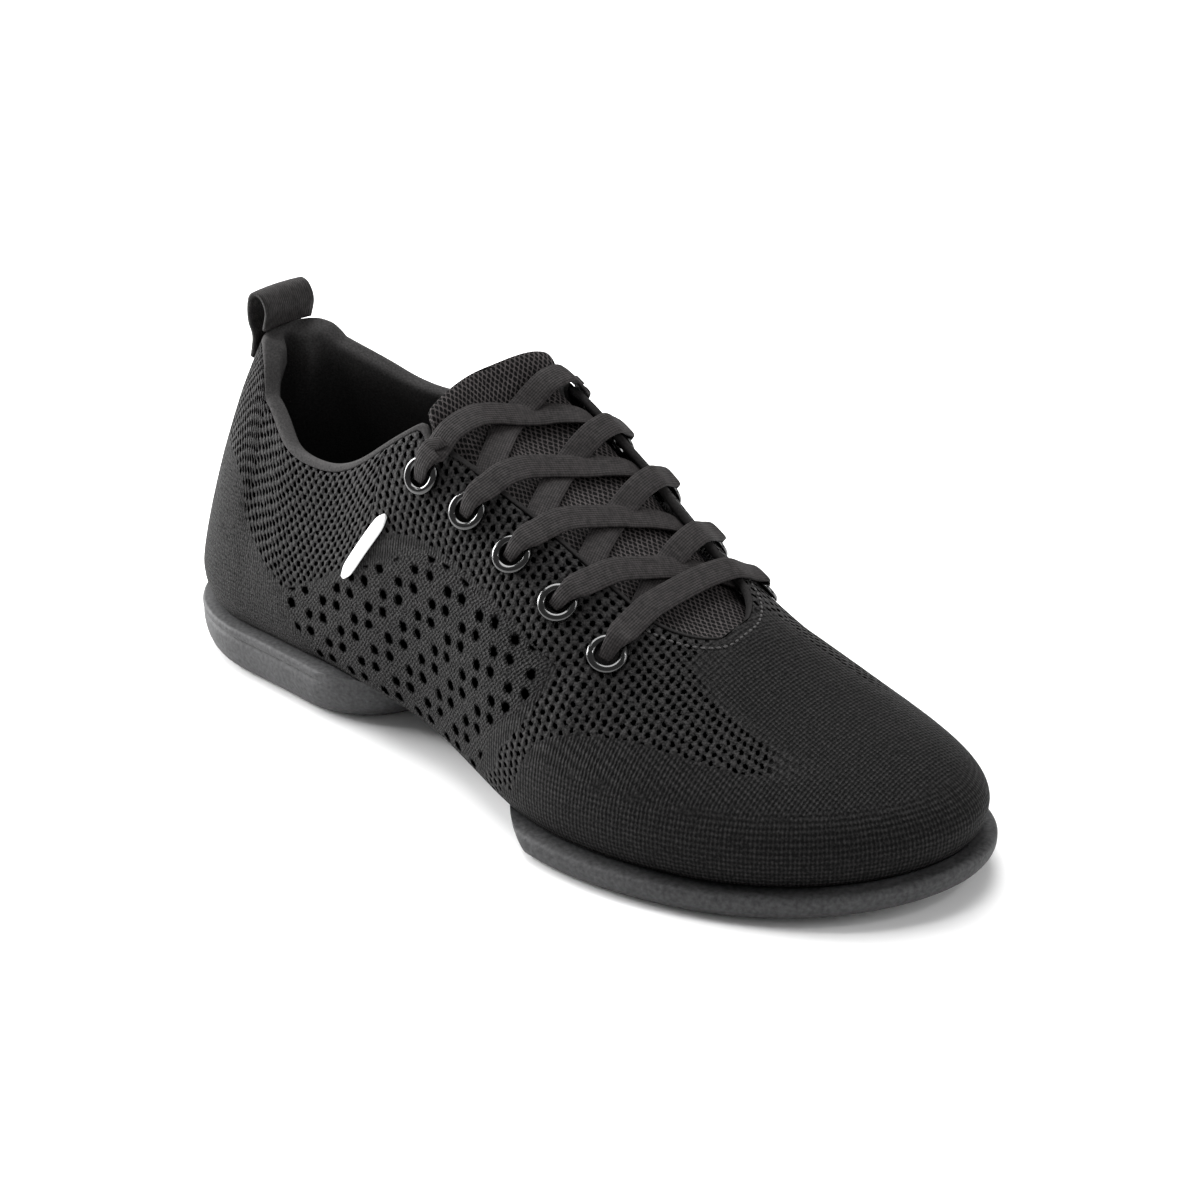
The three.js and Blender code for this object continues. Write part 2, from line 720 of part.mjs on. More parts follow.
function tongueSolid() {
  const rowsOf = Array.from({ length: tongueStations + 1 }, (_, i) =>
    mix(tongueTop, tongueEnd, (i / tongueStations) ** 1.5),
  );
  const loops = rowsOf.map((station) => {
    const { half, thick, stand } = tonguePlace(station);
    const { core } = rib("lateral", station);
    const side = (hand) => {
      const g = girthWhere((v) => -Math.abs(skin(hand, station, v).y - core.y), -half);
      return Array.from({ length: tongueSteps }, (_, i) => mix(g, 3, i / tongueSteps));
    };
    const place = (hand, g, share, out) => {
      const puff = Math.sqrt(Math.sin(Math.PI * mix(0.06, 0.5, share)));
      const open = Math.abs(acrossOf(hand, station, edgeGirth(hand, station)));
      const away = Math.abs(acrossOf(hand, station, g));
      const flat = mix(1, tongueFlat, (away / tongueHalfTop) ** 2);
      const free = ease(clamp((open - tongueClear - away) / tongueRamp, 0, 1));
      const sag = sagAt(station, hand === "lateral" ? -away : away);
      const raised = stand * flat * free + sag - tongueDrop;
      return skinAt(hand, station, g, raised - thick * (out ? 0.5 * (1 - puff) : mix(0.5, 1, puff)));
    };
    const half1 = side("medial").map((g, i) => ({ hand: "medial", g, share: i / tongueSteps }));
    const ridge = { hand: "medial", g: 3, share: 1 };
    const half2 = side("lateral").map((g, i) => ({ hand: "lateral", g, share: i / tongueSteps }));
    const across = [...half1, ridge, ...half2.reverse()];
    return [
      ...across.map((p) => place(p.hand, p.g, p.share, true)),
      ...across.reverse().map((p) => place(p.hand, p.g, p.share, false)),
    ];
  });
  return loft(loops);
}

// Eyelet: a rolled ring with a short barrel through the knit
const ringOuter = 5.3;
const ringHole = 3;
const barrelWall = 0.6;
const barrelDeep = 1.6;
const ringRise = 1.2;
const ringLip = 0.3; // how far the ring's foot is rolled in

function eyeletFrame(hand, k) {
  const station = rowStation(k);
  const g = girthBelow(hand, station, rowIn(k));
  const up = skinNormal(hand, station, g);
  const turn = new THREE.Quaternion().setFromUnitVectors(new THREE.Vector3(0, 0, 1), up);
  return new THREE.Matrix4().compose(skin(hand, station, g), turn, new THREE.Vector3(1, 1, 1));
}

function eyeletGeometry(hand, k) {
  const lift = gap;
  const barrel = ringHole + barrelWall;
  const profile = [
    [ringHole, -barrelDeep],
    [barrel, -barrelDeep],
    [barrel, lift],
    [ringOuter - ringLip, lift],
    [ringOuter, lift + ringRise * 0.42],
    [mix(ringHole, ringOuter, 0.7), lift + ringRise * 0.85],
    [mix(ringHole, ringOuter, 0.4), lift + ringRise],
    [ringHole, lift + ringRise * 0.4],
    [ringHole, -barrelDeep],
  ].map(([r, z]) => new THREE.Vector2(r, z));
  return new THREE.LatheGeometry(profile, 16).rotateX(Math.PI / 2).applyMatrix4(eyeletFrame(hand, k));
}

function eyeletHole(hand, k) {
  const r = ringHole + barrelWall + gap;
  const g = new THREE.CylinderGeometry(r, r, 4 * wall, 12).rotateX(Math.PI / 2);
  return solidOf(g.applyMatrix4(eyeletFrame(hand, k)));
}

// Flat cord through places that each have a normal and a width
function ribbon(places, thick) {
  const loops = places.map((place, i) => {
    const before = places[Math.max(0, i - 1)].at;
    const after = places[Math.min(places.length - 1, i + 1)].at;
    const along = after.clone().sub(before).normalize();
    const across = new THREE.Vector3().crossVectors(place.normal, along).normalize();
    const up = new THREE.Vector3().crossVectors(along, across).normalize();
    const corner = (a, b) =>
      place.at.clone().addScaledVector(across, a * place.width * 0.5).addScaledVector(up, b * thick * 0.5);
    return [
      corner(-1, 0.3),
      corner(-1, -0.3),
      corner(-0.84, -1),
      corner(0.84, -1),
      corner(1, -0.3),
      corner(1, 0.3),
      corner(0.84, 1),
      corner(-0.84, 1),
    ];
  });
  return loft(loops);
}

// Point and normal at a station and a distance from the middle line, plus to the inner side
function placeOn(station, across, lift) {
  const hand = across < 0 ? "lateral" : "medial";
  const { core } = rib(hand, station);
  const g = girthWhere((v) => -Math.abs(skin(hand, station, v).y - core.y), -Math.abs(across));
  const normal = skinNormal(hand, station, g);
  return { at: skin(hand, station, g).addScaledVector(normal, lift), normal };
}

// Point and normal at a distance along the rib below the slot's edge
function placeBelow(hand, station, distance, lift) {
  const g = girthBelow(hand, station, distance);
  const normal = skinNormal(hand, station, g);
  return { at: skin(hand, station, g).addScaledVector(normal, lift), normal };
}

// A lace from its eyelet to past the slot's edge: in is the distance from the eyelet's middle as a share of the
// ring's radius, lift the rise above the last as a share of the lace's thickness, width a share of the full width
const laceLead = [
  { in: -0.283, lift: 0.077, width: 0.459 },
  { in: 0, lift: 0.692, width: 0.541 },
  { in: 0.34, lift: 1.615, width: 0.622 },
  { in: 0.642, lift: 2.115, width: 0.757 },
  { in: 0.943, lift: 2.154, width: 0.892 },
  { in: 1.321, lift: 1.538, width: 1 },
  { in: 1.698, lift: 1.115, width: 1 },
];
// The same past the slot's edge, as shares of the way over the slot
const overLace = [
  { share: 0.08, lift: 0.846 },
  { share: 0.2, lift: 0.077 },
  { share: 0.34, lift: -0.692 },
  { share: 0.5, lift: -1.192 },
  { share: 0.64, lift: -2 },
  { share: 0.76, lift: -2.269 },
  { share: 0.9, lift: -2.269 },
  { share: 1, lift: -2.269 },
];
const underLace = [
  { share: 0.08, lift: 0.846 },
  { share: 0.2, lift: -0.077 },
  { share: 0.3, lift: -1 },
  { share: 0.4, lift: -2 },
  { share: 0.5, lift: -2.269 },
  { share: 0.64, lift: -2.269 },
  { share: 0.8, lift: -2.269 },
  { share: 0.93, lift: -2.269 },
  { share: 1, lift: -2.269 },
];

// A lace from an eyelet, over its own edge of the slot and under the other edge one row further on
function crossLace(hand, k, way) {
  const other = hand === "lateral" ? "medial" : "lateral";
  const near = rowIn(k);
  const over = Math.abs(slotAcross(hand, rowStation(k)) - slotAcross(other, rowStation(k + 1)));
  const long = near + over;
  const sAt = (distance) => mix(rowStation(k), rowStation(k + 1), distance / long);
  const lead = laceLead.map((p) => ({
    ...placeBelow(hand, sAt(p.in * ringOuter), near - p.in * ringOuter, p.lift * laceThick),
    width: p.width * laceWidth,
  }));
  const middle = way.map(({ share, lift }) => {
    const s = sAt(near + share * over);
    const y = mix(slotAcross(hand, s), slotAcross(other, s), share);
    return { ...placeOn(s, y, lift * laceThick + laceSag * sagAt(s, y)), width: laceWidth };
  });
  const end = { ...placeBelow(other, sAt(long), tuckedEnd, -tongueDrop + gap + laceThick / 2) };
  return ribbon([...lead, ...middle, { ...end, width: laceWidth }], laceThick);
}

const tuckedEnd = 3.5; // how far a lace runs on under the edge
const barShares = [0.06, 0.2, 0.35, 0.5, 0.65, 0.8, 0.94];
const barTop = 1.7; // rise of the straight lace at the slot's edges
const barLift = -0.9; // and at the middle of the slot

function barLace() {
  const k = rows - 1;
  const s = rowStation(k);
  const end = (hand) =>
    laceLead.map((p) => ({
      ...placeBelow(hand, s, rowIn(k) - p.in * ringOuter, p.lift * laceThick),
      width: p.width * laceWidth,
    }));
  const middle = barShares.map((share) => {
    const y = mix(slotAcross("lateral", s), slotAcross("medial", s), share);
    const low = Math.sin(Math.PI * share) ** 0.8;
    return { ...placeOn(s, y, mix(barTop, barLift, low) + laceSag * sagAt(s, y)), width: laceWidth };
  });
  return ribbon([...end("lateral"), ...middle, ...end("medial").reverse()], laceThick);
}

// Pull loop of webbing at the back of the heel, bent round it. Its ends are sewn to the knit's back and to the
// lining's rolled edge. Its rows are forward of and above the collar's edge, as shares of its height.
const loopWidth = 17.5;
const loopThick = 1.2;
const loopBend = 40;
const loopSewn = 6; // how far its back end runs down the knit
const loopEnd = 2.1; // from the top of the rolled edge to its front end
const loopTall = 13.8; // from the collar's edge to its top
const loopRows = [
  { forward: -0.159, up: 0.362 },
  { forward: -0.145, up: 0.667 },
  { forward: -0.065, up: 0.899 },
  { forward: 0.094, up: 1 },
  { forward: 0.297, up: 0.935 },
  { forward: 0.406, up: 0.652 },
];
const loopSides = 4;
const loopSteps = 18;

function pullLoop() {
  const edge = edgeGirth("lateral", -1);
  const top = skin("lateral", -1, edge);
  const rise = edgeRise("lateral", -1);
  const sewn = girthWhere((g) => skin("lateral", -1, g).z, top.z - loopSewn);
  const onKnit = [sewn, edge].map((g) => skinAt("lateral", -1, g, 1.5 * gap + loopThick / 2));
  const free = loopRows.map(({ forward, up }) => new THREE.Vector3(top.x + forward * loopTall, 0, top.z + up * loopTall));
  const onLining = skinAt("lateral", -1, edge, -wall).addScaledVector(rise, bead + loopEnd);
  const path = new THREE.CatmullRomCurve3([...onKnit, ...free, onLining]);
  const loops = Array.from({ length: loopSteps + 1 }, (_, i) => {
    const at = path.getPoint(i / loopSteps);
    const along = path.getTangent(i / loopSteps);
    const out = new THREE.Vector3(-along.z, 0, along.x);
    const row = (side) =>
      Array.from({ length: loopSides + 1 }, (_, j) => {
        const y = mix(-0.5, 0.5, j / loopSides) * loopWidth;
        const p = at.clone().addScaledVector(out, (side * loopThick) / 2);
        return new THREE.Vector3(p.x + (y * y) / (2 * loopBend), y, p.z);
      });
    return [...row(1), ...row(-1).reverse()];
  });
  return loft(loops);
}

// Plain raised bar on the outer side
const barWidth = 4;
const barThick = 0.8;
const barFrom = { station: 0.25, z: 48 };
const barTo = { station: 0.333, z: 70 };

function sideBar() {
  const steps = 10;
  const places = Array.from({ length: steps + 1 }, (_, i) => {
    const t = i / steps;
    const station = mix(barFrom.station, barTo.station, t);
    const g = girthWhere((v) => skin("lateral", station, v).z, mix(barFrom.z, barTo.z, t));
    const round = Math.sqrt(Math.max(0.12, 1 - (2 * t - 1) ** 6));
    const normal = skinNormal("lateral", station, g);
    return {
      at: skin("lateral", station, g).addScaledVector(normal, gap + barThick / 2),
      normal,
      width: barWidth * round,
    };
  });
  return ribbon(places, barThick);
}

let upper = upperShell();
for (const hand of hands)
  for (let k = 0; k < rows; k++) upper = upper.subtract(eyeletHole(hand, k));

const group = new THREE.Group();
const knit = { color: 0x1b1b1c, roughness: 0.9, metalness: 0 };
const rubber = { color: 0x2a2a2b, roughness: 0.7, metalness: 0 };
const liningCloth = { color: 0x262626, roughness: 0.95, metalness: 0 };
const tongueMesh = { color: 0x232222, roughness: 0.9, metalness: 0 };
const wovenCord = { color: 0x2c2a2a, roughness: 0.9, metalness: 0 };
const whitePrint = { color: 0xe8e8e8, roughness: 0.6, metalness: 0 };
const enamel = { color: 0x080808, roughness: 0.15, metalness: 0.3 };

function add(name, geometry, finish) {
  const made = new THREE.Mesh(
    geometry.translate(-heelCentre, 0, 0),
    new THREE.MeshStandardMaterial(finish),
  );
  made.name = name;
  group.add(made);
}

add("upper", geometryOf(upper), knit);
add("heel_sole", geometryOf(heelPad), rubber);
add("forefoot_sole", geometryOf(forePad), rubber);
add("collar_lining", geometryOf(liningSolid()), liningCloth);
add("slot_binding", geometryOf(bindingSolid()), liningCloth);
add("insole", geometryOf(insoleSolid()), liningCloth);
add("tongue", geometryOf(tongueSolid()), tongueMesh);
for (const hand of hands)
  for (let k = 0; k < rows; k++)
    add(`eyelet_${hand}_${k + 1}`, eyeletGeometry(hand, k), enamel);

for (let k = 0; k < rows - 1; k++)
  add(
    `lace_cross_${k + 1}`,
    geometryOf(crossLace("lateral", k, overLace).add(crossLace("medial", k, underLace))),
    wovenCord,
  );
add("lace_bar", geometryOf(barLace()), wovenCord);
add("pull_loop", geometryOf(pullLoop()), wovenCord);
add("side_bar", geometryOf(sideBar()), whitePrint);

export default group;
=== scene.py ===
"""Looks of a knitted dance sneaker, right foot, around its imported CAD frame. Lengths are in millimetres until a
mesh is made; the frame is in metres, with its origin under the middle of the heel's round."""

import math

import bpy
import numpy as np
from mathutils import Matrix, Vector


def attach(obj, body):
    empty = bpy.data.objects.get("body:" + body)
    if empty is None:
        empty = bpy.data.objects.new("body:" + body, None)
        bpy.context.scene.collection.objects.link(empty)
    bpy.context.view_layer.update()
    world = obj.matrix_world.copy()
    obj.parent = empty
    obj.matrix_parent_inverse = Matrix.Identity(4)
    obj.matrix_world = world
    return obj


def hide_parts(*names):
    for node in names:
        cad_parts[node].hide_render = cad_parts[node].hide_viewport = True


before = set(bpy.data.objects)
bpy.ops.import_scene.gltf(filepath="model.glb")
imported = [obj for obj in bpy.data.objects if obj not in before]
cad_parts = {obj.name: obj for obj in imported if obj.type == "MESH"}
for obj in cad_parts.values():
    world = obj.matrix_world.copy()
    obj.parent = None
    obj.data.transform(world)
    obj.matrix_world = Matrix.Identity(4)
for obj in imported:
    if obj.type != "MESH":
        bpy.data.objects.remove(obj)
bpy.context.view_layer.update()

MM = 0.001

# Sizes of the last, in millimetres
LENGTH = 262
BALL_WIDTH = 95
HEEL_WIDTH = 67
HEEL_CENTRE = 37
TOE_REACH = 38
INSTEP = 95
TUCK = 5
WIDE_RISE = 10
EDGE_ROUND = 0.55
INNER_CROWN = 0.25
INNER_SIDE = 0.16
HEEL_BED = 15
FORE_BED = 7
TOE_SPRING = 5
WALL = 2
AIR = 0.3
COLLAR = 95
THROAT_TOP_HALF = 26.5
THROAT_FRONT_HALF = 18
LASTING_MARGIN = 13
TOE_X = LENGTH - TOE_REACH

# Plan of the widest line: place as a share of the length, half width as a share of the ball width
PLAN = {
    "lateral": ((0.141, 0.353), (0.4, 0.38), (0.665, 0.52)),
    "medial": ((0.141, 0.353), (0.42, 0.4), (0.73, 0.475)),
}
TOE_ROUND = {"lateral": 1.8, "medial": 2.3}
HEEL_ROUND = 2.15
HANDS = ("lateral", "medial")
SIDE = {"lateral": -1, "medial": 1}
OTHER = {"lateral": "medial", "medial": "lateral"}
PROBE = 1e-3  # step in stations and girths between points whose difference gives a slope
HEIGHT_COLUMNS = ("at", "lift", "rise", "ridge", "centre", "side", "crown", "inner")
HEIGHTS = np.array([
    (0, 1.02, 1.1, 1.18, 0, 0.18, 0.25, 0),
    (0.14, 1, 1.1, 1.18, 0, 0.1, 0.38, 0),
    (0.2, 1, 1.1, 1.18, 0.01, 0.32, 0.42, 0),
    (0.28, 1, 1.1, 1.17, 0.03, 0.4, 0.4, 0.3),
    (0.36, 0.85, 1.1, 1.14, 0.045, 0.62, 0.55, 0.95),
    (0.42, 0.65, 1.1, 1.08, 0.05, 0.7, 0.6, 1),
    (0.52, 0.25, 1, 0.9, 0.05, 0.7, 0.6, 0.8),
    (0.62, 0, 1, 0.735, 0.045, 0.62, 0.58, 0.1),
    (0.72, 0, 1, 0.57, 0.05, 0.52, 0.54, 0),
    (0.8, 0, 1, 0.46, 0.07, 0.46, 0.5, 0),
    (0.86, 0, 1, 0.405, 0.09, 0.5, 0.52, 0),
    (1, 0, 0.9, 0.33, 0.1, 0.5, 0.52, 0),
])
COLLAR_COLUMNS = ("station", "lateral", "medial")
COLLAR_LINE = np.array([
    (-1, 1, 1),
    (-0.4, 1, 1.01),
    (-0.15, 0.96, 1),
    (0, 0.87, 0.96),
    (0.05, 0.8, 0.91),
    (0.11, 0.755, 0.85),
    (0.17, 0.755, 0.83),
    (0.24, 0.81, 0.85),
    (0.3, 0.9, 0.92),
    (0.345, 0.965, 0.975),
    (0.4, 1.03, 1.03),
])
COLLAR_SOFT = 0.045  # reach in stations over which the line's corners are eased
COLLAR_WEIGHTS = np.hanning(11)[1:-1] / np.hanning(11).sum()
THROAT_TOP = 0.38
THROAT_FRONT = 0.82
THROAT_ROUND = 0.09
THROAT_START = 0.08
CORNER_BLEND = 0.2


def mix(a, b, t):
    return a + (b - a) * t


def ease(t):
    return t * t * (3 - 2 * t)


def clamp(t):
    return np.clip(t, 0, 1)


def eased(x, start, end):
    """0 before the start and 1 past the end, with a smooth way between them."""
    return ease(clamp((x - start) / (end - start)))


def round_end(t):
    return np.sqrt(1 - (1 - clamp(t)) ** 2)


def size_of(v):
    return np.linalg.norm(v, axis=-1)


def unit(v):
    return v / np.maximum(size_of(v), 1e-12)[..., None]


def column(rows, names, name, place):
    """Value of a named column at a place, as a smooth curve that doesn't overshoot its rows."""
    keys, values = rows[:, 0], rows[:, names.index(name)]
    slopes = np.diff(values) / np.diff(keys)
    a, b = slopes[:-1], slopes[1:]
    inner = np.where(a * b <= 0, 0, 2 * a * b / np.where(a + b == 0, 1, a + b))
    tangents = np.concatenate([[0], inner, [0]])
    p = np.clip(place, keys[0], keys[-1])
    i = np.clip(np.searchsorted(keys, p, side="left") - 1, 0, len(keys) - 2)
    span = keys[i + 1] - keys[i]
    t = (p - keys[i]) / span
    e = ease(t)
    bend = tangents[i] * t * (1 - t) ** 2 - tangents[i + 1] * t * t * (1 - t)
    return values[i] * (1 - e) + values[i + 1] * e + span * bend


def height(name, x):
    return column(HEIGHTS, HEIGHT_COLUMNS, name, x / LENGTH)


def spring_z(x):
    return TOE_SPRING * np.clip((x / LENGTH - 0.8) / 0.2, 0, 1.1) ** 2


def under_z(x):
    return mix(FORE_BED, HEEL_BED, height("lift", x)) + spring_z(x)


def rib(hand, station):
    """Rim and core of the rib at each station, in plan."""
    s = np.asarray(station, float)
    sign = SIDE[hand]
    _, (waist_at, waist), (ball_at, ball) = PLAN[hand]
    x = np.where(s < 0, HEEL_CENTRE, mix(HEEL_CENTRE, TOE_X, s))
    core = np.stack([x, height("centre", x) * BALL_WIDTH * (s >= 0)], -1)
    waist_x, ball_x = waist_at * LENGTH, ball_at * LENGTH
    behind = mix(HEEL_WIDTH / 2, waist * BALL_WIDTH, eased(x, HEEL_CENTRE, waist_x))
    ahead = mix(waist, ball, eased(x, waist_x, ball_x)) * BALL_WIDTH
    rim = np.stack([x, sign * np.where(x < waist_x, behind, ahead)], -1)
    share = clamp((x - ball_x) / (TOE_X - ball_x))
    forward = share ** (2 / TOE_ROUND[hand])
    out = np.sqrt(np.maximum(0, 1 - share * share)) ** (2 / TOE_ROUND[hand])
    tip_y = height("centre", np.float64(TOE_X)) * BALL_WIDTH
    toe = np.stack([mix(ball_x, LENGTH, forward), mix(tip_y, sign * ball * BALL_WIDTH, out)], -1)
    rim = np.where((x > ball_x)[..., None], toe, rim)
    turn = (s + 1) * np.pi / 2
    back = np.abs(np.cos(turn)) ** (2 / HEEL_ROUND)
    wide = np.abs(np.sin(turn)) ** (2 / HEEL_ROUND)
    heel = np.stack([HEEL_CENTRE * (1 - back), sign * HEEL_WIDTH / 2 * wide], -1)
    return np.where((s < 0)[..., None], heel, rim), core


def bezier(a, b, c, d, t):
    t = t[..., None]
    return a * (1 - t) ** 3 + 3 * b * t * (1 - t) ** 2 + 3 * c * t * t * (1 - t) + d * t**3


def at_height(p, z):
    return np.concatenate([p, z[..., None]], -1)


def skin(hand, station, girth):
    """Points on the last. girth 0 is the spine underneath, 1 the lower edge, 2 the widest line, 3 the ridge."""
    s, g = np.broadcast_arrays(np.asarray(station, float), np.asarray(girth, float))
    rim, core = rib(hand, s)
    foot = rim + unit(core - rim) * TUCK
    flat = core + (foot - core) * clamp(g)[..., None]
    bottom = at_height(flat, under_z(flat[..., 0]))
    low = under_z(foot[..., 0])
    wide = low + height("rise", rim[..., 0]) * WIDE_RISE
    turn = mix(foot, rim, EDGE_ROUND)
    wall = at_height(rim, wide)
    rising = at_height(rim, mix(wide, low, EDGE_ROUND))
    edge = bezier(at_height(foot, low), at_height(turn, low), rising, wall, clamp(g - 1))
    cx = core[..., 0]
    top = height("ridge", cx) * INSTEP
    fall = height("ridge", cx + 1) * INSTEP - top
    inner = height("inner", cx) * (hand == "medial")
    shoulder = mix(core, rim, (height("crown", cx) + INNER_CROWN * inner)[..., None])
    wall_top = at_height(rim, mix(wide, top, height("side", cx) + INNER_SIDE * inner))
    crown = at_height(shoulder, top + fall * (shoulder[..., 0] - cx))
    side = bezier(wall, wall_top, crown, at_height(core, top), clamp(g - 2))
    return np.where((g <= 1)[..., None], bottom, np.where((g <= 2)[..., None], edge, side))


def normals(hand, station, girth):
    """Outward normals, the same from both sides where they meet."""
    s, g = np.broadcast_arrays(np.asarray(station, float), np.asarray(girth, float))

    def side_normals(name):
        along = skin(name, np.minimum(1, s + PROBE), g) - skin(name, np.maximum(-1, s - PROBE), g)
        up = skin(name, s, np.minimum(3, g + PROBE)) - skin(name, s, np.maximum(0, g - PROBE))
        n = np.cross(along, up) if name == "lateral" else np.cross(up, along)
        slope = (height("ridge", np.float64(TOE_X)) - height("ridge", np.float64(TOE_X - 1))) * INSTEP
        spare = np.stack([np.where(s > 0, -slope, 0), 0 * s, np.where(g > 2, 1.0, -1.0)], -1)
        return unit(np.where((size_of(n) < 1e-7)[..., None], spare, n))

    own = side_normals(hand)
    shared = (g == 0) | (g == 3) | (s == -1) | (s == 1)
    return np.where(shared[..., None], unit(own + side_normals(OTHER[hand])), own)


def skin_at(hand, station, girth, lift):
    return skin(hand, station, girth) + normals(hand, station, girth) * np.asarray(lift)[..., None]


def girth_where(measure, value, shape):
    """Girth from 2 to 3 at which a rising measure of the rib reaches a value."""
    low, high = np.full(shape, 2.0), np.full(shape, 3.0)
    for _ in range(30):
        middle = (low + high) / 2
        under = measure(middle) < value
        low, high = np.where(under, middle, low), np.where(under, high, middle)
    return (low + high) / 2


def girth_at_height(hand, s, z):
    return girth_where(lambda g: skin(hand, s, g)[..., 2], z, s.shape)


def girth_at_width(hand, s, away):
    """Girth at a distance across the foot from the rib's core."""
    core_y = rib(hand, s)[1][..., 1]
    return girth_where(lambda g: -np.abs(skin(hand, s, g)[..., 1] - core_y), -away, s.shape)


def edge_girth(hand, station):
    """Girth of the opening's edge: the lower of the collar line and the throat line, with a round corner."""
    s = np.atleast_1d(np.asarray(station, float))
    near = s[..., None] + COLLAR_SOFT * np.linspace(-1, 1, 9)
    wanted = column(COLLAR_LINE, COLLAR_COLUMNS, hand, near) @ COLLAR_WEIGHTS * COLLAR
    collar = girth_at_height(hand, s, wanted)
    along = clamp((s - THROAT_TOP) / (THROAT_FRONT - THROAT_TOP))
    front = round_end((THROAT_FRONT - s) / THROAT_ROUND)
    start = eased(s, THROAT_TOP - THROAT_START, THROAT_TOP)
    half = mix(THROAT_TOP_HALF, THROAT_FRONT_HALF, along) * front * start
    throat = girth_at_width(hand, s, half)
    share = clamp(0.5 + (throat - collar) / (2 * CORNER_BLEND))
    opening = mix(throat, collar, share) - CORNER_BLEND * share * (1 - share)
    return np.where(s < 0, collar, np.where(s >= THROAT_FRONT, 3.0, opening))


def placed(points):
    """Points of the last in the frame: metres from under the middle of the heel's round."""
    return (np.asarray(points, float) - (HEEL_CENTRE, 0, 0)) * MM


# Building pieces

def alone(obj):
    bpy.ops.object.select_all(action="DESELECT")
    obj.select_set(True)
    bpy.context.view_layer.objects.active = obj


def edit(obj):
    alone(obj)
    bpy.ops.object.mode_set(mode="EDIT")
    bpy.ops.mesh.select_all(action="SELECT")


def done():
    bpy.ops.object.mode_set(mode="OBJECT")


def copied(obj):
    twin = obj.copy()
    twin.data = obj.data.copy()
    bpy.context.collection.objects.link(twin)
    return twin


def removed(*objs):
    for o in objs:
        bpy.data.objects.remove(o, do_unlink=True)


def grid_sheet(name, rows, maps=None, tints=None):
    """A grid primitive laid on rows of points. maps are UV maps and tints colour attributes, one value per point."""
    n, m = rows.shape[:2]
    bpy.ops.mesh.primitive_grid_add(x_subdivisions=m - 1, y_subdivisions=n - 1, size=1)
    obj = bpy.context.object
    obj.name = obj.data.name = name
    mesh = obj.data
    mesh.vertices.foreach_set("co", placed(rows).astype(np.float32).ravel())
    corner = np.empty(len(mesh.loops), np.int32)
    mesh.loops.foreach_get("vertex_index", corner)
    while mesh.uv_layers:
        mesh.uv_layers.remove(mesh.uv_layers[0])
    for key, values in (maps or {}).items():
        layer = mesh.uv_layers.new(name=key)
        layer.data.foreach_set("uv", values.reshape(-1, 2)[corner].astype(np.float32).ravel())
    for key, values in (tints or {}).items():
        layer = mesh.color_attributes.new(key, "FLOAT_COLOR", "POINT")
        layer.data.foreach_set("color", values.reshape(-1, 4).astype(np.float32).ravel())
    mesh.update()
    return obj


def joined(parts, name):
    alone(parts[0])
    for p in parts[1:]:
        p.select_set(True)
    if len(parts) > 1:
        bpy.ops.object.join()
    parts[0].name = parts[0].data.name = name
    return parts[0]


def welded(obj, reach=0.02, fill=False):
    """Merges the seams, closes open ends if asked, and turns all faces outwards."""
    edit(obj)
    bpy.ops.mesh.remove_doubles(threshold=reach * MM)
    if fill:
        bpy.ops.mesh.fill_holes(sides=0)
        bpy.ops.mesh.select_all(action="SELECT")
    bpy.ops.mesh.normals_make_consistent(inside=False)
    done()
    bpy.ops.object.shade_smooth()
    return obj


def modified(obj, kind, **settings):
    m = obj.modifiers.new(kind.lower(), kind)
    for key, value in settings.items():
        setattr(m, key, value)
    alone(obj)
    bpy.ops.object.modifier_apply(modifier=m.name)
    return obj


def beside(u, v):
    """Two coordinates of every point, side by side."""
    return np.stack(np.broadcast_arrays(u, v), -1)


def tube(name, loops, u=None, v=None):
    """A closed strip: rows of points round it, capped at both ends. u and v are lengths over its cloth."""
    rows = np.concatenate([loops, loops[:, :1]], 1)
    return welded(grid_sheet(name, rows, None if u is None else {"cloth": beside(u, v) * MM}), fill=True)


def both_sides(name, rows_of):
    """One welded piece of the sheets on the outer and the inner side."""
    return welded(joined([grid_sheet(f"{name}_{hand}", rows_of(hand)) for hand in HANDS], name))


def finished(obj, *nodes, finish, slot):
    obj.data.materials.clear()
    obj.data.materials.append(finish)
    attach(obj, "root")
    if nodes:
        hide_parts(*nodes)
    return obj


# Materials

def linear(code):
    """Linear colour of an sRGB hex code."""
    parts = [int(code[i : i + 2], 16) / 255 for i in (1, 3, 5)]
    return (*[c / 12.92 if c <= 0.04045 else ((c + 0.055) / 1.055) ** 2.4 for c in parts], 1)


def add(tree, kind, inputs=(), out=0, **settings):
    """Adds a node with its settings, sets or links its inputs by place or name, and gives one of its outputs.
    A kind with a second word names the operation too."""
    kind, _, operation = kind.partition(" ")
    made = tree.nodes.new("ShaderNode" + kind)
    if operation:
        made.operation = operation
    for key, value in settings.items():
        setattr(made, key, value)
    for key, value in inputs.items() if isinstance(inputs, dict) else enumerate(inputs):
        if isinstance(value, bpy.types.NodeSocket):
            tree.links.new(value, made.inputs[key])
        elif value is not None:
            made.inputs[key].default_value = value
    return made.outputs[out]


def material(name, roughness, colour="#808080", **sockets):
    """A material with the constants of its shader, and its tree."""
    made = bpy.data.materials.new(name)
    made.use_nodes = True
    shader = made.node_tree.nodes["Principled BSDF"]
    for key, value in {"Roughness": roughness, "Base_Color": linear(colour), **sockets}.items():
        shader.inputs[key.replace("_", " ")].default_value = value
    return made, made.node_tree


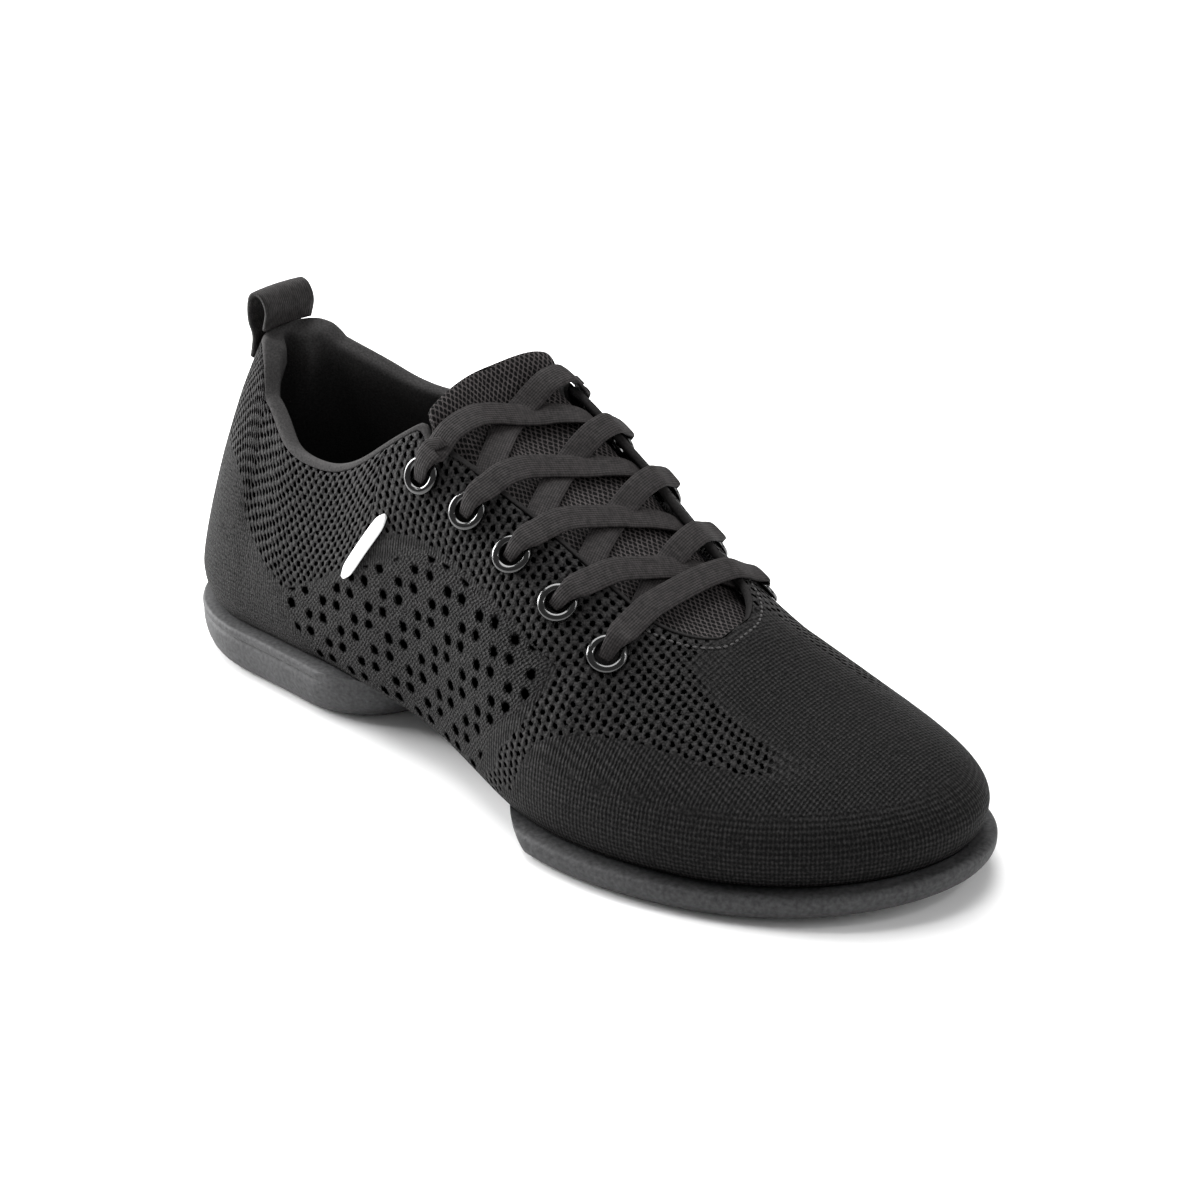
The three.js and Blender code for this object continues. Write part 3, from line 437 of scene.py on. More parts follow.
def surface(made, heights=None, depth=0, **looks):
    """Links looks to the shader, and bumps of a real depth in millimetres, where the height runs from 0 to 1."""
    tree = made.node_tree
    if heights is not None:
        looks["Normal"] = add(tree, "Bump", {"Strength": 1, "Distance": depth * MM, "Height": heights}, out="Normal")
    for key, value in looks.items():
        tree.links.new(value, tree.nodes["Principled BSDF"].inputs[key.replace("_", " ")])
    return made


def waves(tree, value, period):
    """Cosine of a length in metres, with a period in millimetres."""
    turn = add(tree, "Math MULTIPLY", (value, 2 * math.pi / (period * MM)))
    return add(tree, "Math COSINE", (turn,))


def lattice(tree, u, v, periods, operation="ADD"):
    """Waves along two lengths together, each with a period in millimetres."""
    return add(tree, "Math " + operation, [waves(tree, at, period) for at, period in zip((u, v), periods)])


def uv_of(tree, key):
    uv = add(tree, "UVMap", uv_map=key)
    return add(tree, "SeparateXYZ", (uv,)).node.outputs[:2]


def turned(tree, u, v, ways):
    """Lengths along directions of the cloth, from its two coordinates."""
    flat = add(tree, "CombineXYZ", (u, v, 0))
    return [add(tree, "VectorMath DOT_PRODUCT", (flat, (*way, 0)), out="Value") for way in ways]


def shaken(tree, place, *layers):
    """Small shifts of the yarn, from layers of noise given as a scale and a reach in metres."""
    total = (0.0, 0.0, 0.0)
    for scale, reach in layers:
        noise = add(tree, "TexNoise", {"Vector": place, "Scale": scale, "Detail": 1}, out="Color")
        off = add(tree, "VectorMath SUBTRACT", (noise, (0.5, 0.5, 0.5)))
        off = add(tree, "VectorMath SCALE", {0: off, "Scale": reach})
        total = add(tree, "VectorMath ADD", (total, off))
    return total


def mottled(tree, layers, share, low, high, dark, pale):
    """Colour between two tones by a fine grain and a share of broad patches, with both patterns.
    layers are the scale and the detail of the grain and of the patches."""
    place = add(tree, "TexCoord", out="Object")
    grain, patch = (
        add(tree, "TexNoise", {"Vector": place, "Scale": scale, "Detail": detail}, out="Fac")
        for scale, detail in layers
    )
    tone = add(tree, "Math MULTIPLY_ADD", (patch, share, grain))
    tone = add(tree, "MapRange", (tone, low, high))
    return add(tree, "Mix", {0: tone, 6: dark, 7: pale}, out=2, data_type="RGBA"), grain, patch


# The knit's repeats in millimetres, along the shoe and up it, and the directions in which they run
QUARTER_ROWS = (2.9, 3.5)
SLANT_ROWS, SLANT_WAYS = (2.9, 4.3), ((0.857, 0.515), (-0.515, 0.857))
CORD_ROWS, CORD_WAYS = (0.95, 1.4), ((0.804, -0.598), (0.6, 0.8))
COUNTER_COURSES = (0.9, 1.25)
TOE_WAFFLE = (1.1, 1.5)
TOE_PLAIN = (0.95, 1.3)
WAFFLE_HEIGHT = (20, 27)  # over which the waffle passes into the plain knit on the toe
FINE_SHAKE = 0.3  # share of the yarn's shifts in the fine patterns
HOLE_DEPTH = 1.6  # as a share of the yarn's bumps
FUZZ = 0.5
# Columns of paired holes: steps of their repeat
PAIR_ACROSS = (14.0, 0.2)
PAIR_ALONG = (5.9, 6.1)
PAIR_STEP = (6.0, 1.0)


def pair_reach(tree, u, v, start):
    """Distance in millimetres from the nearest hole of the repeat."""
    (ax, ay), (lx, ly) = PAIR_ACROSS, PAIR_ALONG
    area = (ax * ly - ay * lx) * MM
    place = add(tree, "CombineXYZ", (u, v, 0))
    place = add(tree, "VectorMath SUBTRACT", (place, (start[0] * MM, start[1] * MM, 0)))
    reach = (0.0, 0.0, 0.0)
    for step, turn in (((ax, ay, 0), (ly / area, -lx / area, 0)), ((lx, ly, 0), (-ay / area, ax / area, 0))):
        count = add(tree, "VectorMath DOT_PRODUCT", (place, turn), out="Value")
        part = add(tree, "Math FRACT", (add(tree, "Math ADD", (count, 0.5)),))
        part = add(tree, "Math SUBTRACT", (part, 0.5))
        reach = add(tree, "VectorMath ADD", (reach, add(tree, "VectorMath SCALE", {0: step, "Scale": part})))
    return add(tree, "VectorMath LENGTH", (reach,), out="Value")


def knit_yarn():
    """Flat-knitted polyester: matt and near black. Open mesh of yarn bumps between holes, with a painted highlight on
    the bumps' crests and painted shade, black, in the holes.
    """
    made, tree = material("flat_knit_polyester", 0.7)
    place = add(tree, "TexCoord", out="Object")
    off = shaken(tree, place, (420, 0.0012), (1300, 0.0009))
    off_u, off_v, _ = add(tree, "SeparateXYZ", (off,)).node.outputs
    still_u, still_v = uv_of(tree, "knit")
    _, below = uv_of(tree, "collar")
    u, v, c = (add(tree, "Math ADD", pair) for pair in ((still_u, off_u), (still_v, off_v), (below, off_v)))
    zones = add(tree, "Attribute", out="Color", attribute_name="zones")
    in_pairs, in_slant, in_rows = add(tree, "SeparateColor", (zones,)).node.outputs
    in_counter = zones.node.outputs["Alpha"]

    # Mesh of small holes: rows parallel to the collar on the quarter, rising forwards round the eyelets
    rows = lattice(tree, u, c, QUARTER_ROWS, "MULTIPLY")
    slant = lattice(tree, *turned(tree, u, v, SLANT_WAYS), SLANT_ROWS, "MULTIPLY")
    # Larger holes in pairs, in columns that rise forwards
    pair = add(tree, "Math MINIMUM", [pair_reach(tree, u, v, start) for start in ((0, 0), PAIR_STEP)])

    # Yarn: bumps in rows over the toe, cords between the paired holes, fine courses on the heel's counter
    fine_u, fine_v = (
        add(tree, "Math MULTIPLY_ADD", (shift, FINE_SHAKE, still))
        for shift, still in ((off_u, still_u), (off_v, still_v))
    )
    fine = add(tree, "VectorMath MULTIPLY_ADD", (off, (FINE_SHAKE,) * 3, place))
    x, y, _ = add(tree, "SeparateXYZ", (fine,)).node.outputs
    start, end = WAFFLE_HEIGHT
    above = add(tree, "MapRange", (still_v, start * MM, end * MM))
    waffle, plain = lattice(tree, fine_u, fine_v, TOE_WAFFLE), lattice(tree, x, y, TOE_PLAIN)
    toe = add(tree, "Mix", {0: above, 2: waffle, 3: plain}, data_type="FLOAT")
    cords = lattice(tree, *turned(tree, u, v, CORD_WAYS), CORD_ROWS)
    courses = lattice(tree, u, v, COUNTER_COURSES)
    yarn = add(tree, "MapRange", (toe, -1.3, 1.8, 0, 0.6))
    for field, low, high, weight in (
        (cords, -1.3, 1.6, in_pairs), (courses, -2.2, 1.2, in_counter),
        (rows, 0.9, -0.9, in_rows), (slant, 0.9, -0.9, in_slant),
    ):
        own = add(tree, "MapRange", (field, low, high))
        yarn = add(tree, "Mix", {0: weight, 2: yarn, 3: own}, data_type="FLOAT")

    # Holes: painted black as the shade inside them; the same mask also lowers the gloss and sinks the bumps
    hole = 0.0
    for field, low, high, weight in (
        (pair, 2.2, 1.1, in_pairs), (slant, 0.2, 0.55, in_slant), (rows, 0.15, 0.5, in_rows),
    ):
        gap = add(tree, "MapRange", (field, low, high), interpolation_type="SMOOTHSTEP")
        sure = add(tree, "MapRange", (weight, 0.45, 0.55))
        hole = add(tree, "Math MULTIPLY_ADD", (gap, sure, hole), use_clamp=True)

    # Painted highlight and shade: the yarn's tone follows its bump height, paler on the crests and darker between
    # them, then varied by random flecks and broad patches
    tone = yarn
    speck = add(tree, "TexNoise", {"Vector": place, "Scale": 1500, "Detail": 1}, out="Fac")
    patch = add(tree, "TexNoise", {"Vector": place, "Scale": 26, "Detail": 3}, out="Fac")
    for field, low, high in ((speck, 0.1, 2.1), (patch, 0.85, 1.15)):
        change = add(tree, "MapRange", (field, 0.3, 0.7, low, high))
        tone = add(tree, "Math MULTIPLY", (tone, change))
    colour = add(tree, "Mix", {0: tone, 6: linear("#010101"), 7: linear("#2d2c2c")}, out=2, data_type="RGBA")
    # Painted shade: black in the holes
    colour = add(tree, "Mix", {0: hole, 6: colour, 7: linear("#000000")}, out=2, data_type="RGBA")
    gloss = add(tree, "MapRange", (hole, 0, 1, 0.11, 0.0))
    heights = add(tree, "Math MULTIPLY_ADD", (hole, -HOLE_DEPTH, yarn))
    heights = add(tree, "Math MULTIPLY_ADD", (speck, FUZZ, heights))
    return surface(made, heights, 0.6, Base_Color=colour, Specular_IOR_Level=gloss)


CLOTH_GRAIN = 0.35  # share by which the nap's tone goes down and up
CLOTH_NAP = 0.55  # size of the nap's tufts


def cloth(name, colour):
    """Fine woven or brushed cloth: matt with a faint nap, even in tone."""
    made, tree = material(name, 0.9, Specular_IOR_Level=0.08)
    tones = [[c * (1 + change) for c in linear(colour)[:3]] + [1] for change in (-CLOTH_GRAIN, CLOTH_GRAIN)]
    shade, nap, _ = mottled(tree, ((1 / (CLOTH_NAP * MM), 2), (30, 3)), 0.5, 0.5, 1.0, *tones)
    return surface(made, nap, 0.12, Base_Color=shade)


NET_ROWS = (1.7, 2.5)


def tongue_net():
    """Warp-knit spacer mesh: warm dark cords in a net of diamonds over black foam."""
    made, tree = material("spacer_mesh_polyester", 0.75, Specular_IOR_Level=0.12)
    place = add(tree, "TexCoord", out="Object")
    shifts = add(tree, "SeparateXYZ", (shaken(tree, place, (500, 0.0006)),)).node.outputs
    u, v = (add(tree, "Math ADD", pair) for pair in zip(uv_of(tree, "cloth"), shifts))
    net = add(tree, "Math ABSOLUTE", (lattice(tree, u, v, NET_ROWS),))
    hole = add(tree, "MapRange", (net, 0.45, 1.1), interpolation_type="SMOOTHSTEP")
    speck = add(tree, "TexNoise", {"Vector": place, "Scale": 1400, "Detail": 1}, out="Fac")
    cord = add(tree, "Mix", {0: speck, 6: linear("#1f1d1d"), 7: linear("#5a5555")}, out=2, data_type="RGBA")
    shade = add(tree, "Mix", {0: hole, 6: cord, 7: linear("#010101")}, out=2, data_type="RGBA")
    return surface(made, add(tree, "Math SUBTRACT", (1, hole)), 0.5, Base_Color=shade)


LACE_THREAD = 0.7  # between the lace's lengthwise threads
LACE_WOBBLE = 0.0009  # metres by which noise shifts the ribs


def woven_lace(name, shaded_groove, lit_crest, rib_step, twill=0.0):
    """Flat woven polyester cord: cross ribs, a little sheen, with painted shade in the grooves and a painted
    highlight on the crests.
    """
    made, tree = material(name, 0.7, Specular_IOR_Level=0.14)
    u, v = uv_of(tree, "cloth")
    place = add(tree, "TexCoord", out="Object")
    noise = add(tree, "TexNoise", {"Vector": place, "Scale": 700, "Detail": 2}, out="Fac")
    slip = add(tree, "Math MULTIPLY_ADD", (noise, LACE_WOBBLE, add(tree, "Math MULTIPLY_ADD", (v, twill, u))))
    weave = add(tree, "Math MULTIPLY_ADD", (waves(tree, slip, rib_step), 0.55, waves(tree, v, LACE_THREAD)))
    heights = add(tree, "MapRange", (weave, -2.4, 1.7))
    worn = add(tree, "MapRange", (noise, 0.3, 0.7, 0.5, 1.3))
    # Painted shade and highlight: the tone follows the weave's height, dark in the grooves and pale on the crests,
    # varied at random by noise
    tone = add(tree, "Math MULTIPLY", (heights, worn))
    shade = add(tree, "Mix", {0: tone, 6: linear(shaded_groove), 7: linear(lit_crest)}, out=2, data_type="RGBA")
    return surface(made, heights, 0.16, Base_Color=shade)


def moulded_rubber():
    """Moulded rubber compound: matt dark grey, finely grained, a little paler and rougher in broad random patches."""
    made, tree = material("moulded_rubber", 0.62, Specular_IOR_Level=0.3)
    tones = linear("#121213"), linear("#4e4e4f")
    shade, grain, patch = mottled(tree, ((900, 3), (18, 4)), 1, 0.6, 1.4, *tones)
    rough = add(tree, "MapRange", (patch, 0, 1, 0.5, 0.75))
    return surface(made, grain, 0.14, Base_Color=shade, Roughness=rough)


def black_enamel():
    """Stoved enamel on a pressed metal ring: hard, glossy and near black, with a thin clear skin."""
    made, tree = material("black_enamel", 0.16, "#060606", Coat_Weight=0.6, Coat_Roughness=0.05)
    place = add(tree, "TexCoord", out="Object")
    wear = add(tree, "TexNoise", {"Vector": place, "Scale": 500, "Detail": 2}, out="Fac")
    return surface(made, Roughness=add(tree, "MapRange", (wear, 0, 1, 0.1, 0.24)))


def white_print():
    """Raised white transfer print: satin plastic film with a slightly grained face."""
    made, tree = material("white_transfer_print", 0.5, "#f2f2f2")
    place = add(tree, "TexCoord", out="Object")
    grain = add(tree, "TexNoise", {"Vector": place, "Scale": 1100, "Detail": 2}, out="Fac")
    return surface(made, grain, 0.08)


# Upper

def arc(points):
    """Length along rows of points, from the first."""
    steps = size_of(np.diff(points, axis=-2))
    return np.concatenate([np.zeros(steps.shape[:-1] + (1,)), np.cumsum(steps, -1)], -1)


# Stations between which the knit closes over the arch, not held between the pads
ARCH_FROM, ARCH_TO = ((share * LENGTH - HEEL_CENTRE) / (TOE_X - HEEL_CENTRE) for share in (0.34, 0.58))
ARCH_ROUND = 0.08


def bottom_girth(hand, s):
    """Girth at which the knit ends underneath: a margin in from the lower edge, and right across the arch."""
    rim, core = rib(hand, s)
    closed = 1 - LASTING_MARGIN / (size_of(rim - core) - TUCK)
    past = np.where(s < ARCH_FROM, ARCH_FROM - s, s - ARCH_TO)
    return np.where(past <= 0, 0, closed * round_end(past / ARCH_ROUND))


def slot_stations(start, steps, turn, fine_steps, **ends):
    """Stations along the slot's edge from a start, closer together round its front up to an angle."""
    along = np.linspace(start, THROAT_FRONT - THROAT_ROUND, steps, endpoint=False)
    return np.append(along, THROAT_FRONT - THROAT_ROUND * (1 - np.sin(np.linspace(0, turn, fine_steps, **ends))))


def fine_stations():
    heel = np.linspace(-1, 0, 36, endpoint=False)
    slot = slot_stations(0, 84, math.pi / 2, 14, endpoint=False)
    vamp = mix(THROAT_FRONT, 1, np.sin(np.linspace(0, math.pi / 2, 40)))
    return np.concatenate([heel, slot, vamp])


# Borders of the knit's patterns, as station and girth on the outer side
COUNTER_LINE = (
    (-1, 2.5), (-0.5, 2.47), (-0.2, 2.438), (-0.06, 2.388), (0.005, 2.3), (0.065, 2.15), (0.115, 2.05),
    (0.145, 1.725), (0.16, 1),
)
COUNTER_PATCH = ((-1.2, 0.5), *COUNTER_LINE)
PAIR_PATCH = (
    (0.105, 2.1), (0.175, 2.138), (0.245, 2.188), (0.34, 2.225), (0.405, 2.3), (0.47, 2.35), (0.52, 2.375),
    (0.595, 2.4), (0.65, 2.425), (0.68, 2.45), (0.68, 2.362), (0.655, 2.237), (0.615, 2.138), (0.575, 2),
    (0.56, 1.5), (0.55, 1), (0.2, 1), (0.17, 1.5), (0.135, 1.988),
)
MESH_PATCH = (
    (0.3, 2.27), (0.405, 2.33), (0.52, 2.395), (0.6, 2.42), (0.69, 2.44), (0.685, 2.33), (0.665, 2.2), (0.62, 2.06),
    (0.59, 1.9), (0.575, 1.5), (0.6, 1.2), (0.62, 1.5), (0.63, 1.88), (0.675, 2.1), (0.695, 2.188), (0.72, 2.25),
    (0.765, 2.338), (0.8, 2.4), (0.85, 2.438), (0.89, 2.45), (0.925, 2.475), (0.95, 2.513), (0.972, 2.55),
    (0.95, 2.64), (0.905, 2.7), (0.87, 2.77), (0.855, 2.85), (0.83, 3.1), (0.3, 3.1),
)
QUARTER_PATCH = (
    *COUNTER_LINE[:6], (0.105, 2.1), (0.175, 2.15), (0.245, 2.2), (0.3, 2.235), (0.3, 3.1), (-1, 3.1),
)
MESH_END, MESH_TOP = (0.86, 0.1), (2.75, 0.15)  # where the slanting mesh fades before the toe's middle, and over what
PATCH_GRID = np.array([187, 62])  # millimetres that one station and one girth measure, about
# Swells and hollows of the knit: rise, then middle and reach in stations, then in millimetres above the floor
SWELLS = ((-1, 0.13, 0.13, 58, 9), (0.5, -0.35, 0.3, 78, 10))
CREASE_AT, CREASE_LEAN = 0.69, 0.05
# Flex creases: rise, distance from the first and reach, in stations
CREASES = ((-0.35, 0, 0.018), (0.3, 0.035, 0.02))


def inside(patch, s, g, soft):
    """1 inside a patch of stations and girths, 0 outside, over a soft border in millimetres."""
    a = np.array(patch) * PATCH_GRID
    b = np.roll(a, -1, 0)
    p = beside(s, g)[..., None, :] * PATCH_GRID
    ab = b - a
    t = clamp(((p - a) * ab).sum(-1) / (ab * ab).sum(-1))
    near = size_of(p - (a + ab * t[..., None])).min(-1)
    y, x = p[..., 1], p[..., 0]
    crosses = (a[:, 1] > y) != (b[:, 1] > y)
    at = a[:, 0] + (y - a[:, 1]) / np.where(ab[:, 1] == 0, 1e-9, ab[:, 1]) * ab[:, 0]
    within = (crosses & (x < at)).sum(-1) % 2 == 1
    return clamp(0.5 + np.where(within, near, -near) / soft)


def soft_forms(s, g, z):
    """Soft troughs and ridges in the knit, in millimetres: counter, ankle's hollow and flex creases."""
    lift = 0.5 * inside(COUNTER_PATCH, s, g, 7)
    for rise, s_at, s_reach, z_at, z_reach in SWELLS:
        lift += rise * np.exp(-(((s - s_at) / s_reach) ** 2) - ((z - z_at) / z_reach) ** 2)
    bend = s - CREASE_AT - CREASE_LEAN * (g - 2.3)
    over_vamp = clamp((g - 2.1) / 0.2) * clamp((2.75 - g) / 0.2)
    for rise, away, reach in CREASES:
        lift += rise * np.exp(-(((bend - away) / reach) ** 2)) * over_vamp
    return lift


def knit_sheets():
    s = fine_stations()
    ss = s[:, None]
    sheets = []
    for hand in HANDS:
        low, top = bottom_girth(hand, s), edge_girth(hand, s)
        g = np.concatenate([
            mix(low[:, None], 1, np.linspace(0, 1, 6)[:-1]),
            mix(1, 2, np.linspace(0, 1, 7)[:-1]) + 0 * low[:, None],
            mix(2, top[:, None], np.linspace(0, 1, 40)),
        ], 1)
        flat = skin(hand, ss, g)
        points = skin_at(hand, ss, g, soft_forms(ss, g, flat[..., 2]))
        rim_run = arc(skin(hand, s, 2.0)[None])[0]
        rim_run -= rim_run[np.argmin(np.abs(s))]
        up = np.concatenate([-arc(flat[:, 5::-1])[:, :0:-1], arc(flat[:, 5:])], 1)
        zones = np.stack([
            inside(patch, ss, g, soft)
            for patch, soft in ((PAIR_PATCH, 2.5), (MESH_PATCH, 2.0), (QUARTER_PATCH, 3.0), (COUNTER_PATCH, 3.0))
        ], -1)
        before, outside = ((end - at) / reach for at, (end, reach) in ((ss, MESH_END), (g, MESH_TOP)))
        zones[..., 1] *= clamp(before + clamp(outside))
        maps = {"knit": beside(rim_run[:, None], up) * MM, "collar": beside(rim_run[:, None], up[:, -1:] - up) * MM}
        sheets.append(grid_sheet(f"knit_{hand}", points, maps, {"zones": zones}))
    return sheets


def one(function, hand, s, g):
    return function(hand, np.array([float(s)]), np.array([float(g)]))[0]


def lifted(hand, s, g, lift):
    """A point at a lift from the last, and the way up there."""
    up = one(normals, hand, s, g)
    return one(skin, hand, s, g) + up * lift, up


ROWS = 5
FIRST_ROW, LAST_ROW = 0.382, 0.738
EYELET_TOP, EYELET_FRONT = 7.2, 14.2
EYELET_HOLE = 4.4  # radius cleared in the knit under a ring


def row_station(k):
    return mix(FIRST_ROW, LAST_ROW, k / (ROWS - 1))


def row_in(k):
    return mix(EYELET_TOP, EYELET_FRONT, k / (ROWS - 1))


def girth_below(hand, s, distance):
    """Girth at a distance along the rib below the opening's edge."""
    top = edge_girth(hand, np.array([s]))[0]
    start = one(skin, hand, s, top)
    low, high = 2.0, top
    for _ in range(22):
        middle = (low + high) / 2
        if size_of(one(skin, hand, s, middle) - start) > distance:
            low = middle
        else:
            high = middle
    return (low + high) / 2


def eyelet_centres():
    places = []
    for hand in HANDS:
        for k in range(ROWS):
            s = row_station(k)
            places.append((hand, k, *lifted(hand, s, girth_below(hand, s, row_in(k)), 0)))
    return places


def knit_upper(yarn):
    obj = welded(joined(knit_sheets(), "knit_upper"))
    mesh = obj.data
    holes = placed([p for _, _, p, _ in eyelet_centres()])
    centres = np.empty(len(mesh.polygons) * 3)
    mesh.polygons.foreach_get("center", centres)
    near = size_of(centres.reshape(-1, 1, 3) - holes).min(1) < EYELET_HOLE * MM
    edit(obj)
    bpy.ops.mesh.select_mode(type="FACE")
    bpy.ops.mesh.select_all(action="DESELECT")
    done()
    mesh.polygons.foreach_set("select", near)
    bpy.ops.object.mode_set(mode="EDIT")
    bpy.ops.mesh.delete(type="FACE")
    done()
    modified(obj, "SOLIDIFY", thickness=WALL * MM, offset=-1)
    return finished(obj, "upper", finish=yarn, slot="knit")


# Laces, eyelets and what hangs on the slot

RING_OUTER = 5.3
RING_HOLE = 3
RING_RISE = 1.2
RING_FOOT = 0.2  # height at which the ring's round begins
BARREL_WALL = 0.6
BARREL_DEEP = 1.6


def eyelet_rings(enamel):
    """Ten rolled rings with a short barrel, each spun about the knit's own slope."""
    dome = np.linspace(math.pi, 0, 13)
    middle, half = (RING_OUTER + RING_HOLE) / 2, (RING_OUTER - RING_HOLE) / 2
    profile = np.array([
        (RING_HOLE, -BARREL_DEEP), (RING_HOLE, AIR),
        *((middle + half * math.cos(a), AIR + mix(RING_FOOT, RING_RISE, math.sin(a))) for a in dome),
        (RING_OUTER - 0.1, AIR), (RING_HOLE + BARREL_WALL, AIR), (RING_HOLE + BARREL_WALL, -BARREL_DEEP),
        (RING_HOLE, -BARREL_DEEP),
    ])
    turn = np.linspace(0, 2 * math.pi, 41)[:, None]
    rings = []
    for hand, k, at, up in eyelet_centres():
        side = unit(np.cross(up, (0, 0, 1.0)))
        spoke = np.cos(turn) * side + np.sin(turn) * np.cross(up, side)
        rows = at + profile[None, :, :1] * spoke[:, None] + profile[None, :, 1:] * up
        rings.append(welded(grid_sheet(f"ring_{hand}_{k + 1}", rows)))
    nodes = [f"eyelet_{hand}_{k + 1}" for hand in HANDS for k in range(ROWS)]
    return finished(joined(rings, "eyelet_rings"), *nodes, finish=enamel, slot="enamel")


def spline(rows, count):
    """Rows of numbers as a smooth curve through them, at even steps of its parameter."""
    rows = np.asarray(rows, float)
    padded = np.concatenate([[2 * rows[0] - rows[1]], rows, [2 * rows[-1] - rows[-2]]])
    t = np.linspace(0, len(rows) - 1, count)
    i = np.minimum(t.astype(int), len(rows) - 2)
    f = (t - i)[:, None]
    a, b, c, d = (padded[i + j] for j in range(4))
    return 0.5 * (2 * b + (c - a) * f + (2 * a - 5 * b + 4 * c - d) * f**2 + (3 * b - a - 3 * c + d) * f**3)


CORD_EDGE, CORD_FACE = 0.6, 0.7  # how square a flat cord's section is


def ribbon(name, places, thick):
    """Flat cord through places, each a point, a normal and a width."""
    rows = spline([np.concatenate([at, n, [w]]) for at, n, w in places], (len(places) - 1) * 6 + 1)
    at, normal, width = rows[:, :3], unit(rows[:, 3:6]), rows[:, 6:]
    along = unit(np.gradient(at, axis=0))
    across = unit(np.cross(normal, along))
    up = np.cross(along, across)
    a = np.linspace(0, 2 * math.pi, 28, endpoint=False) + math.pi / 2
    x = np.sign(np.cos(a)) * np.abs(np.cos(a)) ** CORD_EDGE
    y = np.sign(np.sin(a)) * np.abs(np.sin(a)) ** CORD_FACE
    loops = at[:, None] + across[:, None] * (x[:, None] * width[:, None] / 2) + up[:, None] * (y * thick / 2)[:, None]
    return tube(name, loops, arc(at[None])[0][:, None], np.append(x, x[0]) * width / 2)


def place_on(s, across, lift):
    """Point and normal at a station and a distance from the middle line, plus to the inner side."""
    hand = "lateral" if across < 0 else "medial"
    return lifted(hand, s, girth_at_width(hand, np.array([float(s)]), abs(across))[0], lift)


def place_below(hand, s, distance, lift):
    """Point and normal at a distance along the rib below the slot's edge."""
    return lifted(hand, s, girth_below(hand, s, distance), lift)


def slot_across(hand, s):
    ss = np.array([float(s)])
    return (skin(hand, ss, edge_girth(hand, ss))[..., 1] - rib(hand, ss)[1][..., 1])[0]


LACE_WIDTH = 7.4
LACE_THICK = 1.3
TONGUE_DROP = WALL + LACE_THICK + 2.5 * AIR
# Way in from the eyelet's middle, rise above the knit and width
LACE_LEAD = (
    (-1.5, 0.1, 3.4), (0, 0.9, 4), (1.8, 2.1, 4.6), (3.4, 2.75, 5.6), (5, 2.8, 6.6), (7, 2, 7.4), (9, 1.45, 7.4),
)
# Share of the way over the slot and rise above the last
OVER_LACE = (
    (0.08, 1.1), (0.2, 0.1), (0.34, -0.9), (0.5, -1.55), (0.64, -2.6), (0.76, -2.95), (0.9, -2.95), (1, -2.95),
)
UNDER_LACE = (
    (0.08, 1.1), (0.2, -0.1), (0.3, -1.3), (0.4, -2.6), (0.5, -2.95), (0.64, -2.95), (0.8, -2.95), (0.93, -2.95),
    (1, -2.95),
)
TUCKED_END = 3.5  # below the far edge of the slot
# The straight lace at the front: places over the slot, and its lift at the edges and over the middle
BAR_SHARES = (0.06, 0.2, 0.35, 0.5, 0.65, 0.8, 0.94)
BAR_LIFT = (1.7, -0.9)


def lace_ends(hand, k, station_of):
    """Places of a lace from its eyelet to just past the slot's edge."""
    return [(*place_below(hand, station_of(i), row_in(k) - i, lift), w) for i, lift, w in LACE_LEAD]


def cross_lace(hand, k, way):
    """Places of a lace from an eyelet, over its own edge of the slot and under the other one a row further on."""
    other, near = OTHER[hand], row_in(k)
    over = abs(slot_across(hand, row_station(k)) - slot_across(other, row_station(k + 1)))

    def station_of(distance):
        return mix(row_station(k), row_station(k + 1), distance / (near + over))

    places = lace_ends(hand, k, station_of)
    for share, lift in way:
        s = station_of(near + share * over)
        y = mix(slot_across(hand, s), slot_across(other, s), share)
        places.append((*place_on(s, y, lift + lace_sag(s, y)), LACE_WIDTH))
    end = place_below(other, station_of(near + over), TUCKED_END, AIR + LACE_THICK / 2 - TONGUE_DROP)
    return [*places, (*end, LACE_WIDTH)]


def laces(cord):
    for k in range(ROWS - 1):
        pair = [
            ribbon(f"lace_{hand}_{k + 1}", cross_lace(hand, k, way), LACE_THICK)
            for hand, way in zip(HANDS, (OVER_LACE, UNDER_LACE))
        ]
        finished(joined(pair, f"lace_pair_{k + 1}"), f"lace_cross_{k + 1}", finish=cord, slot="lace")
    s = row_station(ROWS - 1)
    start, end = (lace_ends(hand, ROWS - 1, lambda _: s) for hand in HANDS)
    middle = []
    for share in BAR_SHARES:
        y = mix(slot_across("lateral", s), slot_across("medial", s), share)
        lift = mix(*BAR_LIFT, math.sin(math.pi * share) ** 0.8) + lace_sag(s, y)
        middle.append((*place_on(s, y, lift), LACE_WIDTH))
    bar = ribbon("front_lace", [*start, *middle, *end[::-1]], LACE_THICK)
    finished(bar, "lace_bar", finish=cord, slot="lace")


SAG_SHARE = 0.8
LACE_SAG = 0.84
SAG_START, SAG_FULL = 0.345, 0.445  # stations between which the laces begin to press


def sag_at(s, away, hand):
    """How far the taut laces press the tongue down, at stations and distances from the middle line."""
    edges = {h: skin(h, s, edge_girth(h, s)) for h in HANDS}
    core = rib(hand, s)[1]
    edge_z = np.maximum(edges["lateral"][..., 2], edges["medial"][..., 2])
    deep = np.maximum(0, height("ridge", core[..., 0]) * INSTEP - edge_z)
    opening = np.maximum(AIR, np.abs(edges[hand][..., 1] - core[..., 1]))
    share = np.minimum(1, np.abs(away) / opening)
    return -SAG_SHARE * deep * eased(s, SAG_START, SAG_FULL) * (1 - share**2) ** 2


def lace_sag(s, y):
    hand = "lateral" if y < 0 else "medial"
    return LACE_SAG * sag_at(np.array([float(s)]), np.array([float(y)]), hand)[0]


